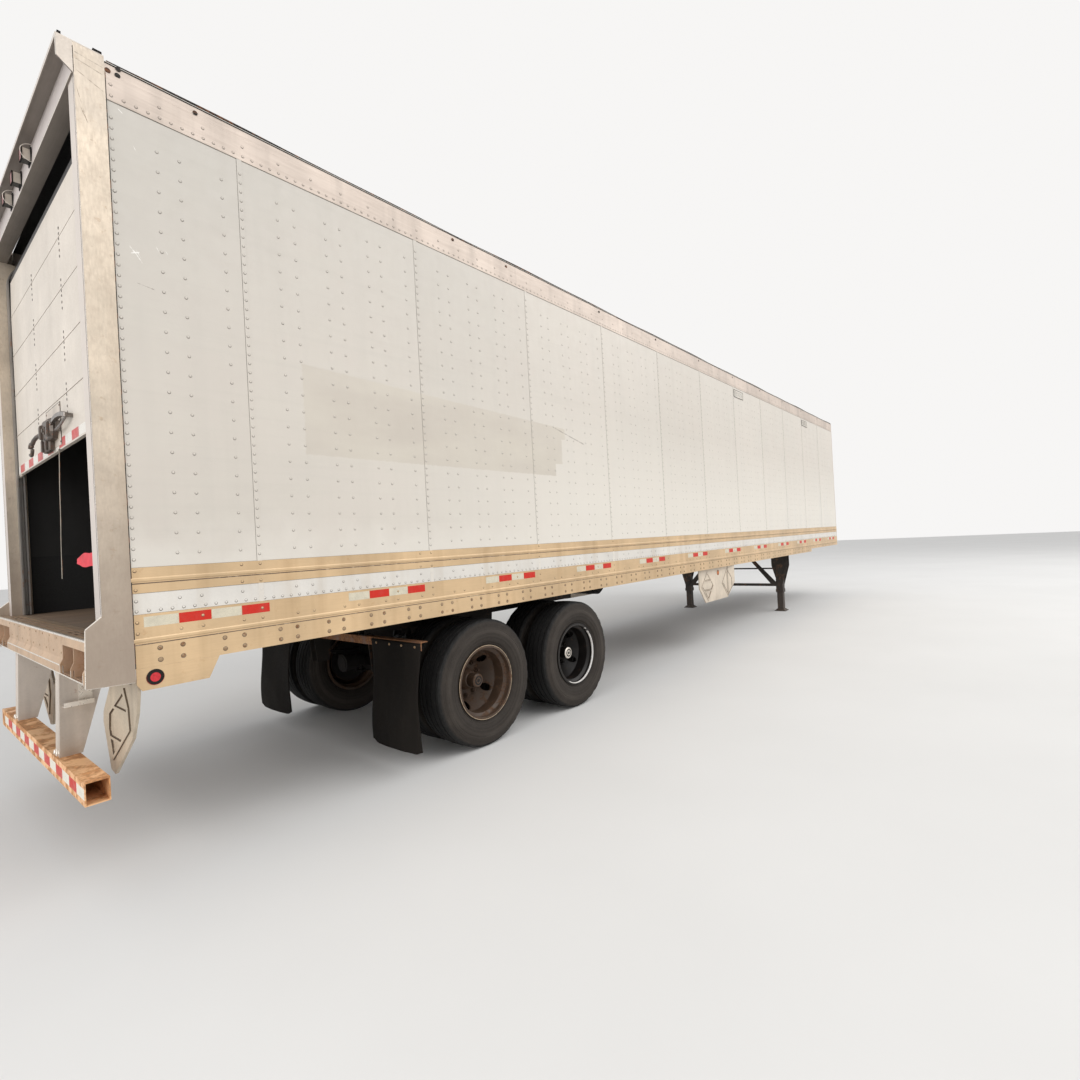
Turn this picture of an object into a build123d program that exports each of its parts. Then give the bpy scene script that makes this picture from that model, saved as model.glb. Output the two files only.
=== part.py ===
from build123d import *
import math
import os

os.makedirs("parts", exist_ok=True)

# Dry van semi trailer with a roll-up rear door, two axles and fixed landing legs.
# Millimetres. X runs forward, Y to the left (road side), Z up, with the ground at Z = 0.
# The origin is at the middle of the overall length and width, on the ground.

# Overall body
body_length = 14630.0
nose_box_proud = 60.0
overall_width = 2591.0
roof_edge_z = 4086.0
roof_crown = 22.0
roof_sheet = 3.0
wall_thickness = 38.0
panel_pitch = 1240.0
first_panel = 607.0
seam_lap = 28.0
seam_step = 1.5

# Heights of the side, from the rail up to the roof
rail_bottom_z = 1115.0
rail_front_bottom_z = 1173.0
rail_rib_z = 1251.0
rail_top_z = 1379.0
rub_bottom_z = 1484.0
rub_rib_z = 1549.0
rub_top_z = 1610.0
top_rail_bottom_z = 3905.0
top_rail_divide_z = 4036.0
rib_height = 22.0
rib_proud = 3.5
rail_lip = 22.0
rail_web = 8.0
sheet_inset = 6.0
rail_step_from_front = 2386.0

# Floor and its crossmembers
floor_top_z = 1283.0
floor_thickness = 35.0
floor_gap = 1.0
cross_pitch = 304.8
cross_depth = 102.0
cross_flange = 57.0
cross_flange_thickness = 6.0
cross_web = 5.0
cross_first = 160.0
front_cross_first = 120.0

# Rear frame
frame_depth = 200.0
post_depth = 122.0
post_width = 112.0
post_wall = 8.0
header_bottom_z = 3955.0
header_top_z = 4110.0
header_overhang = 15.0
header_wall = 6.0
soffit_depth = 72.0
sill_face_x = 14.0
sill_top_z = 1285.0
sill_ledge_z = 1134.0
sill_slope_rise = 30.0
sill_bottom_z = 1084.0
sill_wall = 8.0
pocket_top_z = 1240.0
pocket_outer_y = 1275.0
pocket_width = 225.0
pocket_wall = 7.0
pocket_depth = 95.0
tail_lamp_radius = 52.0
tail_lamp_depth = 24.0
corner_plate_top_z = 1388.0
corner_plate_low_z = 1335.0
corner_plate_thickness = 9.0

# Roll-up door, drawn about a third open
door_panel_height = 298.0
door_panel_gap = 5.0
door_panel_thickness = 20.0
door_panel_count = 9
door_bottom_z = 2333.0
door_set_in = 150.0
door_half_width = 1118.0
door_roller_radius = 12.7
door_pin_radius = 6.0
track_inner_half = 1126.0
door_curve_start_z = 3775.0
door_curve_radius = 175.0
track_width = 34.0
track_depth = 44.0
track_wall = 4.0
track_run = 1250.0
strap_width = 26.0
strap_thickness = 3.0
strap_length = 780.0
strap_y = -195.0
strap_sway = 47.0

# Wheels and axles
tyre_radius = 513.0
tyre_width = 274.0
tyre_crown = 14.0
tyre_bead_width = 205.0
tyre_wall = 26.0
rim_radius = 298.5
rim_well_radius = 262.0
rim_wall = 9.0
rim_width = 230.0
dual_spacing = 335.0
outer_tyre_inset = 21.0
disc_thickness = 11.0
disc_hole_count = 5
disc_hole_radius = 32.0
disc_hole_circle = 214.0
disc_hole_turn = -30.0
hub_radius = 92.0
hub_length = 118.0
hub_bore = 40.3
hub_cap_radius = 56.0
hub_cap_length = 84.0
drum_radius = 212.0
drum_length = 190.0
drum_wall = 14.0
spindle_radius = 40.0
axle_radius = 63.5
rear_axle_from_sheet = 2398.0
axle_spacing = 1241.0
axle_half_tube = 625.0

# Suspension under the sliding bogie
spring_y = 490.0
spring_width = 76.0
spring_leaf = 17.0
spring_leaf_gap = 1.0
spring_seat_height = 34.0
spring_half_length = 470.0
spring_camber = 62.0
slide_rail_height = 78.0
slide_rail_width = 90.0
slide_rail_wall = 9.0
slide_rail_start = 420.0
slide_rail_length = 5000.0
bogie_rail_height = 120.0
bogie_rail_width = 96.0
bogie_rail_wall = 9.0
bogie_rear_reach = 640.0
bogie_front_reach = 900.0
bogie_cross_size = 100.0
hanger_width = 104.0
hanger_plate = 9.0
hanger_drop = 330.0
hanger_length = 190.0
equalizer_length = 340.0
equalizer_drop = 60.0

# Landing gear
leg_from_front = 3530.0
leg_y = 970.0
leg_size = 126.0
leg_wall = 8.0
leg_housing_bottom_z = 370.0
leg_collar_height = 64.0
leg_collar_proud = 6.0
leg_overlap = 260.0
foot_size = 210.0
foot_height = 46.0
leg_gusset_offset = 20.0
leg_gusset_half = 150.0
leg_gusset_shoulder_z = 900.0
leg_gusset_low_z = 490.0
leg_gusset_tip_half = 34.0
leg_gusset_bar = 34.0
leg_gusset_plate = 9.0
leg_top_plate = 10.0
leg_top_plate_half = 230.0
leg_shaft_z = 840.0
leg_shaft_radius = 15.0
leg_brace_size = 50.0
leg_brace_z = 490.0
leg_brace_reach = 530.0

# Coupler
coupler_bottom_z = 1165.0
coupler_plate = 10.0
coupler_length = 1250.0
coupler_width = 2400.0
coupler_from_front = 60.0
kingpin_setback = 914.0
kingpin_collar_radius = 35.7
kingpin_neck_radius = 25.4
kingpin_head_radius = 36.5
kingpin_length = 84.0
kingpin_collar_height = 18.0
kingpin_neck_height = 38.0

# Guard, flaps and fairings at the rear and the middle
guard_beam_height = 114.0
guard_beam_depth = 102.0
guard_beam_wall = 6.0
guard_beam_top_z = 610.0
guard_beam_half = 1190.0
guard_bracket_y = 620.0
guard_bracket_top = 236.0
guard_bracket_low = 100.0
guard_bracket_flange = 96.0
guard_bracket_plate = 8.0
flap_plane = 1735.0
flap_width = 610.0
flap_height = 720.0
flap_sway = 42.0
flap_low_z = 130.0
flap_thickness = 9.0
flap_inner_y = 660.0
flap_angle = 62.0
flap_angle_wall = 6.0
kite_plane = 15.0
kite_plate = 14.0
kite_rib = 9.0
fairing_rear = 6565.0
fairing_length = 1167.0
fairing_bottom_z = 645.0
fairing_corner = 190.0
fairing_corner_z = 860.0
fairing_y = 1236.0
fairing_plate = 14.0
fairing_fold = 182.0
fairing_flare = 44.0
fairing_rib_half = 205.0
fairing_rib_width = 15.0
fairing_rib_proud = 6.0
fairing_lamp_from_rear = 648.0

# Small fittings
marker_radius = 38.0
marker_lens_radius = 24.0
marker_depth = 26.0
marker_plate_length = 380.0
marker_plate_drop = 110.0
marker_plate = 6.0
vent_length = 385.0
vent_height = 118.0
vent_top_z = 3868.0
vent_proud = 5.0
vent_from_seam = 33.0
corner_radius = 110.0
scuff_height = 440.0
scuff_plate = 4.0
tank_radius = 118.0
tank_length = 760.0

# Places that follow from the sizes
overall_length = body_length + nose_box_proud
rear_x = -overall_length / 2
front_x = overall_length / 2 - nose_box_proud
half_width = overall_width / 2
sheet_rear_x = rear_x + frame_depth
post_rear_x = sheet_rear_x - post_depth
rail_y = half_width - rib_proud
sheet_y = half_width - sheet_inset
lining_y = sheet_y - wall_thickness
wall_front_x = front_x - corner_radius
step_x = front_x - rail_step_from_front
floor_bottom_z = floor_top_z - floor_thickness
cross_bottom_z = floor_bottom_z - cross_depth
rail_inner_y = rail_y - rail_web
seat_gap = 0.3
seam_count = int((wall_front_x - sheet_rear_x - first_panel - panel_pitch / 2) / panel_pitch) + 1
cross_count = int((step_x - cross_flange - sheet_rear_x - cross_first) / cross_pitch) + 1
front_cross_count = int((rail_step_from_front - corner_radius - cross_flange - front_cross_first) / cross_pitch) + 1


def block(x0, x1, y0, y1, z0, z1, mode=Mode.ADD):
    """A rectangular length between two corners."""
    with Locations(((x0 + x1) / 2, (y0 + y1) / 2, (z0 + z1) / 2)):
        Box(abs(x1 - x0), abs(y1 - y0), abs(z1 - z0), mode=mode)


def along_x(points, x0, x1, mode=Mode.ADD):
    """A profile given as (y, z) points, run from x0 to x1."""
    with BuildSketch(Plane.YZ.offset(x0)) as section:
        Polygon(*points, align=None)
    extrude(section.sketch, amount=x1 - x0, mode=mode)


def along_y(points, y0, y1, mode=Mode.ADD):
    """A profile given as (x, z) points, run from y0 up to y1."""
    with BuildSketch(Plane.XZ.offset(-y1)) as section:
        Polygon(*points, align=None)
    extrude(section.sketch, amount=y1 - y0, mode=mode)


def along_z(points, z0, z1, mode=Mode.ADD):
    """A profile given as (x, y) points, run from z0 up to z1."""
    with BuildSketch(Plane.XY.offset(z0)) as section:
        Polygon(*points, align=None)
    extrude(section.sketch, amount=z1 - z0, mode=mode)


def round_bar_y(x, z, radius, y0, y1, mode=Mode.ADD):
    """A round bar across the trailer, from y0 up to y1."""
    with BuildSketch(Plane.XZ.offset(-y1)) as section:
        with Locations((x, z)):
            Circle(radius)
    extrude(section.sketch, amount=y1 - y0, mode=mode)


def round_bar_x(y, z, radius, x0, x1, mode=Mode.ADD):
    """A round bar along the trailer, from x0 up to x1."""
    with BuildSketch(Plane.YZ.offset(x0)) as section:
        with Locations((y, z)):
            Circle(radius)
    extrude(section.sketch, amount=x1 - x0, mode=mode)


def keep(piece, label):
    """Label a finished piece and write its file."""
    piece.part.label = label
    export_step(piece.part, "parts/" + label + ".step")


# Side walls: sheet, posts and lining as one thickness, with a lapped seam at each sheet's edge
seam_xs = [sheet_rear_x + first_panel + n * panel_pitch for n in range(seam_count)]
for side, label in ((-1, "side_wall_right"), (1, "side_wall_left")):
    with BuildPart() as side_wall:
        block(sheet_rear_x, wall_front_x, side * lining_y, side * sheet_y, rail_top_z, top_rail_bottom_z)
        for seam_x in seam_xs:
            block(seam_x, seam_x + seam_lap, side * (sheet_y - 1), side * (sheet_y + seam_step),
                  rail_top_z, rub_bottom_z)
            block(seam_x, seam_x + seam_lap, side * (sheet_y - 1), side * (sheet_y + seam_step),
                  rub_top_z, top_rail_bottom_z)
    keep(side_wall, label)

# Front wall between the corner posts, with its stiffening posts outside
with BuildPart() as front_wall:
    block(front_x - wall_thickness, front_x - seam_step, -rail_y + corner_radius,
          rail_y - corner_radius, rail_top_z, top_rail_bottom_z)
keep(front_wall, "front_wall")

# Front corner posts: quarter rounds from the bottom rail up to the roof
with BuildPart() as front_corner_posts:
    with BuildSketch(Plane.XY.offset(rail_front_bottom_z)):
        with BuildLine():
            outer = rail_y
            inner = corner_radius - wall_thickness
            centre_x = front_x - corner_radius
            centre_y = outer - corner_radius
            slant = math.sqrt(0.5)
            ThreePointArc((centre_x, outer), (centre_x + slant * corner_radius, centre_y + slant * corner_radius),
                          (front_x, centre_y))
            Line((front_x, centre_y), (front_x - wall_thickness, centre_y))
            ThreePointArc((front_x - wall_thickness, centre_y),
                          (centre_x + slant * inner, centre_y + slant * inner), (centre_x, outer - wall_thickness))
            Line((centre_x, outer - wall_thickness), (centre_x, outer))
        make_face()
    extrude(amount=roof_edge_z - seat_gap - rail_front_bottom_z)
    mirror(about=Plane.XZ)
keep(front_corner_posts, "front_corner_posts")

# Roof: one crowned sheet carried by bows, the crown drawn as flat strips
roof_half = half_width - 2.0
crown_strips = 4
crown_step = roof_half / crown_strips


def crown_at(y):
    """Rise of the roof over its edges at a distance from the middle."""
    strip = min(int(abs(y) / crown_step), crown_strips - 1)
    near = roof_crown * (1 - (strip / crown_strips) ** 2)
    far = roof_crown * (1 - ((strip + 1) / crown_strips) ** 2)
    return near + (far - near) * (abs(y) / crown_step - strip)


def crown_points(half, edge_z):
    """The roof's line as (y, z) points, from the right edge to the left."""
    inner = [n * crown_step for n in range(1 - crown_strips, crown_strips) if abs(n * crown_step) < half - 1]
    return [(y, edge_z + crown_at(y)) for y in [-half] + inner + [half]]


with BuildPart() as roof:
    along_x(crown_points(roof_half, roof_edge_z) + crown_points(roof_half, roof_edge_z + roof_sheet)[::-1],
            sheet_rear_x, front_x)
    with BuildSketch(Plane.XY.offset(roof_edge_z - 1)):
        for side in (-1, 1):
            with Locations((front_x - corner_radius / 2 + 5, side * (roof_half - corner_radius / 2 + 5))):
                Rectangle(corner_radius + 10, corner_radius + 10)
            with Locations((front_x - corner_radius, side * (roof_half - corner_radius))):
                Circle(corner_radius, mode=Mode.SUBTRACT)
    extrude(amount=roof_crown + 10, mode=Mode.SUBTRACT)
keep(roof, "roof")

# Roof bows: strips across under the sheet, with the same crown
bow_half = lining_y - 2.0
bow_width = 42.0
bow_depth = 26.0
bow_count = 23
bow_pitch = (wall_front_x - sheet_rear_x - 2 * first_panel) / (bow_count - 1)
with BuildPart() as roof_bows:
    for n in range(bow_count):
        bow_x = sheet_rear_x + first_panel + n * bow_pitch
        along_x(crown_points(bow_half, roof_edge_z - seat_gap)
                + crown_points(bow_half, roof_edge_z - seat_gap - bow_depth)[::-1],
                bow_x - bow_width / 2, bow_x + bow_width / 2)
keep(roof_bows, "roof_bows")

# Top rails: a stepped extrusion along each side and one across the front
with BuildPart() as top_rails:
    top_profile = [(lining_y, top_rail_bottom_z), (rail_y, top_rail_bottom_z), (rail_y, top_rail_divide_z),
                   (rail_y - 3, top_rail_divide_z + 3), (rail_y - 3, roof_edge_z - seat_gap), (lining_y, roof_edge_z - seat_gap)]
    along_x(top_profile, sheet_rear_x, wall_front_x)
    mirror(about=Plane.XZ)
    rail_end = rail_y - corner_radius
    along_x([(-rail_end, top_rail_bottom_z)] + crown_points(rail_end, roof_edge_z - seat_gap)
            + [(rail_end, top_rail_bottom_z)], front_x - wall_thickness, front_x)
keep(top_rails, "top_rails")


def ribbed_profile(inner_y, low_z, high_z, rib_z):
    """A flat rail with one rounded rib along its outer face."""
    return [(inner_y, low_z), (rail_y, low_z), (rail_y, rib_z - rib_height / 2),
            (rail_y + rib_proud, rib_z - rib_height / 4), (rail_y + rib_proud, rib_z + rib_height / 4),
            (rail_y, rib_z + rib_height / 2), (rail_y, high_z), (inner_y, high_z)]


# Upper rub rails, lapped on the side sheets
with BuildPart() as rub_rails:
    along_x(ribbed_profile(sheet_y, rub_bottom_z, rub_top_z, rub_rib_z), sheet_rear_x, wall_front_x)
    mirror(about=Plane.XZ)
keep(rub_rails, "rub_rails")

# Lower side rails: they carry the wall, the floor and the crossmember ends, and step up at the front
with BuildPart() as lower_side_rails:
    for x0, x1, low_z in ((sheet_rear_x, step_x, rail_bottom_z), (step_x, wall_front_x, rail_front_bottom_z)):
        rail_profile = [(rail_inner_y - rail_lip, low_z), (rail_y, low_z), (rail_y, rail_rib_z - rib_height / 2),
                        (rail_y + rib_proud, rail_rib_z - rib_height / 4),
                        (rail_y + rib_proud, rail_rib_z + rib_height / 4),
                        (rail_y, rail_rib_z + rib_height / 2), (rail_y, rail_top_z), (lining_y, rail_top_z),
                        (lining_y, floor_bottom_z), (rail_inner_y, floor_bottom_z),
                        (rail_inner_y, low_z + rail_web), (rail_inner_y - rail_lip, low_z + rail_web)]
        along_x(rail_profile, x0, x1)
    mirror(about=Plane.XZ)
    block(front_x - wall_thickness, front_x, -rail_y + corner_radius, rail_y - corner_radius,
          rail_front_bottom_z, rail_top_z)
keep(lower_side_rails, "lower_side_rails")

# Floor boards between the rails
with BuildPart() as floor:
    floor_half = lining_y - floor_gap
    block(post_rear_x + soffit_depth, front_x - wall_thickness - floor_gap, -floor_half, floor_half,
          floor_bottom_z, floor_top_z)
    floor_round = corner_radius - wall_thickness - floor_gap
    floor_front_x = front_x - wall_thickness - floor_gap
    with BuildSketch(Plane.XY.offset(floor_bottom_z - 1)):
        for side in (-1, 1):
            with Locations((floor_front_x - floor_round / 2 + 5, side * (floor_half - floor_round / 2 + 5))):
                Rectangle(floor_round + 10, floor_round + 10)
            with Locations((floor_front_x - floor_round, side * (floor_half - floor_round))):
                Circle(floor_round, mode=Mode.SUBTRACT)
    extrude(amount=floor_thickness + 2, mode=Mode.SUBTRACT)
keep(floor, "floor")

# Crossmembers: rolled beams between the side rails
beam_half = cross_flange / 2
cross_half = rail_inner_y - seat_gap
cross_profile = [(-beam_half, cross_bottom_z), (beam_half, cross_bottom_z),
                 (beam_half, cross_bottom_z + cross_flange_thickness),
                 (cross_web / 2, cross_bottom_z + cross_flange_thickness),
                 (cross_web / 2, floor_bottom_z - cross_flange_thickness),
                 (beam_half, floor_bottom_z - cross_flange_thickness), (beam_half, floor_bottom_z),
                 (-beam_half, floor_bottom_z), (-beam_half, floor_bottom_z - cross_flange_thickness),
                 (-cross_web / 2, floor_bottom_z - cross_flange_thickness),
                 (-cross_web / 2, cross_bottom_z + cross_flange_thickness),
                 (-beam_half, cross_bottom_z + cross_flange_thickness)]
with BuildPart() as crossmembers:
    for n in range(cross_count):
        beam_x = sheet_rear_x + cross_first + n * cross_pitch
        along_y([(beam_x + x, z) for x, z in cross_profile], -cross_half, cross_half)
    front_beam_low = coupler_bottom_z + coupler_plate
    front_beam_half = cross_half - rail_lip
    front_profile = [(-beam_half, front_beam_low), (beam_half, front_beam_low),
                     (beam_half, front_beam_low + cross_flange_thickness),
                     (-beam_half + cross_web, front_beam_low + cross_flange_thickness),
                     (-beam_half + cross_web, floor_bottom_z - cross_flange_thickness),
                     (beam_half, floor_bottom_z - cross_flange_thickness), (beam_half, floor_bottom_z),
                     (-beam_half, floor_bottom_z)]
    for n in range(front_cross_count):
        beam_x = step_x + front_cross_first + n * cross_pitch
        along_y([(beam_x + x, z) for x, z in front_profile], -front_beam_half, front_beam_half)
keep(crossmembers, "crossmembers")

# Dark scuff liners along the foot of the inner walls
with BuildPart() as scuff_liners:
    block(sheet_rear_x + 2, front_x - corner_radius - 2, lining_y - seat_gap - scuff_plate, lining_y - seat_gap,
          floor_top_z, floor_top_z + scuff_height)
    mirror(about=Plane.XZ)
keep(scuff_liners, "scuff_liners")

# Rear posts: folded channels, with the dock corner plate welded outside their foot
with BuildPart() as rear_posts:
    post_inner_y = half_width - post_width
    post_profile = [(sheet_rear_x - seat_gap, half_width), (post_rear_x, half_width), (post_rear_x, post_inner_y),
                    (sheet_rear_x - seat_gap, post_inner_y), (sheet_rear_x - seat_gap, post_inner_y + post_wall),
                    (post_rear_x + post_wall, post_inner_y + post_wall), (post_rear_x + post_wall, half_width - post_wall),
                    (sheet_rear_x - seat_gap, half_width - post_wall)]
    along_z(post_profile, sill_top_z, header_bottom_z)
    along_z([(sheet_rear_x - seat_gap, half_width), (post_rear_x, half_width), (post_rear_x, half_width - post_wall),
             (sheet_rear_x - seat_gap, half_width - post_wall)], header_bottom_z - 1, header_top_z - header_wall)
    along_y([(post_rear_x - 1, sill_bottom_z - 24), (sheet_rear_x - seat_gap, sill_bottom_z - 30),
             (sheet_rear_x - seat_gap, sill_top_z + 1), (post_rear_x - 1, sill_top_z + 1)],
            half_width - post_wall, half_width)
    along_y([(rear_x + 5, sill_bottom_z - 20), (post_rear_x, sill_bottom_z - 24), (post_rear_x, corner_plate_top_z),
             (rear_x + sill_face_x, corner_plate_low_z)], half_width - corner_plate_thickness, half_width)
    mirror(about=Plane.XZ)
keep(rear_posts, "rear_posts")

# Rear header: a top flange that stands out over a recessed face, with a soffit under it
with BuildPart() as rear_header:
    header_half = half_width - post_wall - seat_gap
    header_rear_x = rear_x + header_overhang
    web_x = post_rear_x
    along_y([(header_rear_x, header_top_z), (header_rear_x, header_top_z - 18),
             (header_rear_x + header_wall, header_top_z - 18), (header_rear_x + header_wall, header_top_z - header_wall),
             (web_x, header_top_z - header_wall), (web_x - 8, header_bottom_z + 30), (web_x - 8, header_bottom_z),
             (web_x + soffit_depth, header_bottom_z), (web_x + soffit_depth, header_bottom_z + header_wall),
             (web_x, header_bottom_z + header_wall + 3), (web_x + header_wall, header_top_z - 2 * header_wall),
             (sheet_rear_x - seat_gap, header_top_z - 2 * header_wall), (sheet_rear_x - seat_gap, header_top_z)],
            -header_half, header_half)
    block(header_rear_x, sheet_rear_x - seat_gap, header_half - 1, half_width, header_top_z - header_wall + seat_gap,
          header_top_z)
    block(header_rear_x, sheet_rear_x - seat_gap, -half_width, -header_half + 1, header_top_z - header_wall + seat_gap,
          header_top_z)
    gusset = [(header_rear_x, header_top_z - 1), (header_rear_x, header_top_z - 105),
              (web_x - seat_gap, header_bottom_z), (web_x - seat_gap, header_top_z - 1)]
    along_y(gusset, half_width - post_wall, half_width)
    along_y(gusset, -half_width, -half_width + post_wall)
keep(rear_header, "rear_header")

# Dark clips on top of the header, two near each end
clip_height = 16.0
with BuildPart() as header_clips:
    for clip_x0, clip_x1 in ((header_rear_x + 9, header_rear_x + 23), (sheet_rear_x - 42, sheet_rear_x - 7)):
        block(clip_x0, clip_x1, half_width - 44, half_width - 4, header_top_z + seat_gap, header_top_z + clip_height)
    mirror(about=Plane.XZ)
keep(header_clips, "header_clips")

# Rear sill: threshold, face, stepped lower flange and a pair of lamp pockets at each end
with BuildPart() as rear_sill:
    sill_half = half_width - corner_plate_thickness - seat_gap
    face_x = rear_x + sill_face_x
    threshold_x = post_rear_x + soffit_depth - seat_gap
    sill_under_z = sill_ledge_z - sill_wall
    along_y([(face_x, sill_top_z), (face_x, sill_ledge_z + sill_slope_rise), (rear_x, sill_ledge_z), (rear_x, sill_bottom_z),
             (rear_x + sill_wall, sill_bottom_z), (rear_x + sill_wall, sill_under_z),
             (sheet_rear_x - seat_gap, sill_under_z), (sheet_rear_x - seat_gap, sill_ledge_z),
             (face_x + sill_wall, sill_ledge_z), (face_x + sill_wall, sill_top_z - sill_wall),
             (threshold_x, sill_top_z - sill_wall), (threshold_x, sill_top_z)],
            -sill_half, sill_half)
    block(sheet_rear_x - 1, sheet_rear_x + 20, -post_inner_y, post_inner_y, sill_under_z, sill_ledge_z)
    for side in (-1, 1):
        pocket_out = side * pocket_outer_y
        pocket_in = side * (pocket_outer_y - 2 * pocket_width - 3 * pocket_wall)
        block(face_x, rear_x + pocket_depth + pocket_wall, pocket_in, pocket_out, sill_bottom_z, pocket_top_z)
        for cell in (0, 1):
            cell_out = side * (pocket_outer_y - pocket_wall - cell * (pocket_width + pocket_wall))
            block(rear_x - 1, rear_x + pocket_depth, cell_out - side * pocket_width, cell_out,
                  sill_bottom_z + pocket_wall, pocket_top_z - pocket_wall, mode=Mode.SUBTRACT)
keep(rear_sill, "rear_sill")

# Rear lamps: three square ones on the header and a round one in each pocket of the sill
header_lamp_pitch = 305.0
header_lamp_z = 4018.0
header_lamp_half_width = 29.0
header_lamp_half_height = 32.0
header_lamp_depth = 44.0
pocket_mid_z = (sill_bottom_z + pocket_top_z) / 2
with BuildPart() as rear_lamps:
    for n in (-1, 0, 1):
        block(web_x - 8 - header_lamp_depth, web_x - 8 - seat_gap, n * header_lamp_pitch - header_lamp_half_width,
              n * header_lamp_pitch + header_lamp_half_width, header_lamp_z - header_lamp_half_height,
              header_lamp_z + header_lamp_half_height)
    for side in (-1, 1):
        for cell in (0, 1):
            lamp_y = side * (pocket_outer_y - pocket_wall - pocket_width / 2 - cell * (pocket_width + pocket_wall))
            round_bar_x(lamp_y, pocket_mid_z, tail_lamp_radius, rear_x + pocket_depth - tail_lamp_depth,
                        rear_x + pocket_depth - seat_gap)
keep(rear_lamps, "rear_lamps")


# The door's path: up the posts, round a quarter turn and forward under the roof
door_x = rear_x + door_set_in + door_panel_thickness / 2
curve_x = door_x + door_curve_radius
track_top_z = door_curve_start_z + door_curve_radius


def door_point(travel):
    """The place along the door's path, as (x, z), for a distance up from the door's foot."""
    straight = door_curve_start_z - door_bottom_z
    turn = door_curve_radius * math.pi / 2
    if travel <= straight:
        return door_x, door_bottom_z + travel
    if travel <= straight + turn:
        angle = (travel - straight) / door_curve_radius
        return (curve_x - door_curve_radius * math.cos(angle),
                door_curve_start_z + door_curve_radius * math.sin(angle))
    return curve_x + travel - straight - turn, track_top_z


with BuildPart() as door_panels:
    for n in range(door_panel_count):
        foot_x, foot_z = door_point(n * door_panel_height + door_panel_gap / 2)
        head_x, head_z = door_point((n + 1) * door_panel_height - door_panel_gap / 2)
        span = math.hypot(head_x - foot_x, head_z - foot_z)
        slope_x = (head_x - foot_x) / span
        slope_z = (head_z - foot_z) / span
        half = door_panel_thickness / 2
        along_y([(foot_x - slope_z * half, foot_z + slope_x * half), (foot_x + slope_z * half, foot_z - slope_x * half),
                 (head_x + slope_z * half, head_z - slope_x * half), (head_x - slope_z * half, head_z + slope_x * half)],
                -door_half_width, door_half_width)
    for n in range(door_panel_count + 1):
        pin_x, pin_z = door_point(n * door_panel_height)
        for side in (-1, 1):
            low, high = sorted((side * (door_half_width - 60), side * (track_inner_half + 40)))
            round_bar_y(pin_x, pin_z, door_pin_radius, low, high)
            low, high = sorted((side * (track_inner_half + 20), side * (track_inner_half + 44)))
            round_bar_y(pin_x, pin_z, door_roller_radius, low, high)
keep(door_panels, "door_panels")

# Door tracks: a channel up each post, round the turn and along under the roof
with BuildPart() as door_tracks:
    track_inner_y = track_inner_half
    track_outer_y = post_inner_y - seat_gap
    with BuildSketch(Plane.XZ.offset(-track_outer_y)):
        with BuildLine():
            out_r = door_curve_radius + track_depth / 2
            in_r = door_curve_radius - track_depth / 2
            run_x = curve_x + track_run
            slant = math.sqrt(0.5)
            Line((door_x - track_depth / 2, floor_top_z + 4), (door_x - track_depth / 2, door_curve_start_z))
            ThreePointArc((door_x - track_depth / 2, door_curve_start_z),
                          (curve_x - slant * out_r, door_curve_start_z + slant * out_r),
                          (curve_x, track_top_z + track_depth / 2))
            Line((curve_x, track_top_z + track_depth / 2), (run_x, track_top_z + track_depth / 2))
            Line((run_x, track_top_z + track_depth / 2), (run_x, track_top_z - track_depth / 2))
            Line((run_x, track_top_z - track_depth / 2), (curve_x, track_top_z - track_depth / 2))
            ThreePointArc((curve_x, track_top_z - track_depth / 2),
                          (curve_x - slant * in_r, door_curve_start_z + slant * in_r),
                          (door_x + track_depth / 2, door_curve_start_z))
            Line((door_x + track_depth / 2, door_curve_start_z), (door_x + track_depth / 2, floor_top_z + 4))
            Line((door_x + track_depth / 2, floor_top_z + 4), (door_x - track_depth / 2, floor_top_z + 4))
        make_face()
    extrude(amount=track_outer_y - track_inner_y)
    with BuildSketch(Plane.XZ.offset(-(track_outer_y - track_wall))):
        with BuildLine():
            slot = 2 * (door_roller_radius + seat_gap)
            out_s = door_curve_radius + slot / 2
            in_s = door_curve_radius - slot / 2
            Line((door_x - slot / 2, floor_top_z - 20), (door_x - slot / 2, door_curve_start_z))
            ThreePointArc((door_x - slot / 2, door_curve_start_z),
                          (curve_x - slant * out_s, door_curve_start_z + slant * out_s),
                          (curve_x, track_top_z + slot / 2))
            Line((curve_x, track_top_z + slot / 2), (run_x + 20, track_top_z + slot / 2))
            Line((run_x + 20, track_top_z + slot / 2), (run_x + 20, track_top_z - slot / 2))
            Line((run_x + 20, track_top_z - slot / 2), (curve_x, track_top_z - slot / 2))
            ThreePointArc((curve_x, track_top_z - slot / 2),
                          (curve_x - slant * in_s, door_curve_start_z + slant * in_s),
                          (door_x + slot / 2, door_curve_start_z))
            Line((door_x + slot / 2, door_curve_start_z), (door_x + slot / 2, floor_top_z - 20))
            Line((door_x + slot / 2, floor_top_z - 20), (door_x - slot / 2, floor_top_z - 20))
        make_face()
    extrude(amount=track_outer_y - track_inner_y, mode=Mode.SUBTRACT)
    for hanger_x in (curve_x + 260, run_x - 60):
        block(hanger_x, hanger_x + 40, track_outer_y - 1, lining_y - seat_gap, track_top_z - 3, track_top_z + 3)
    mirror(about=Plane.XZ)
keep(door_tracks, "door_tracks")

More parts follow.
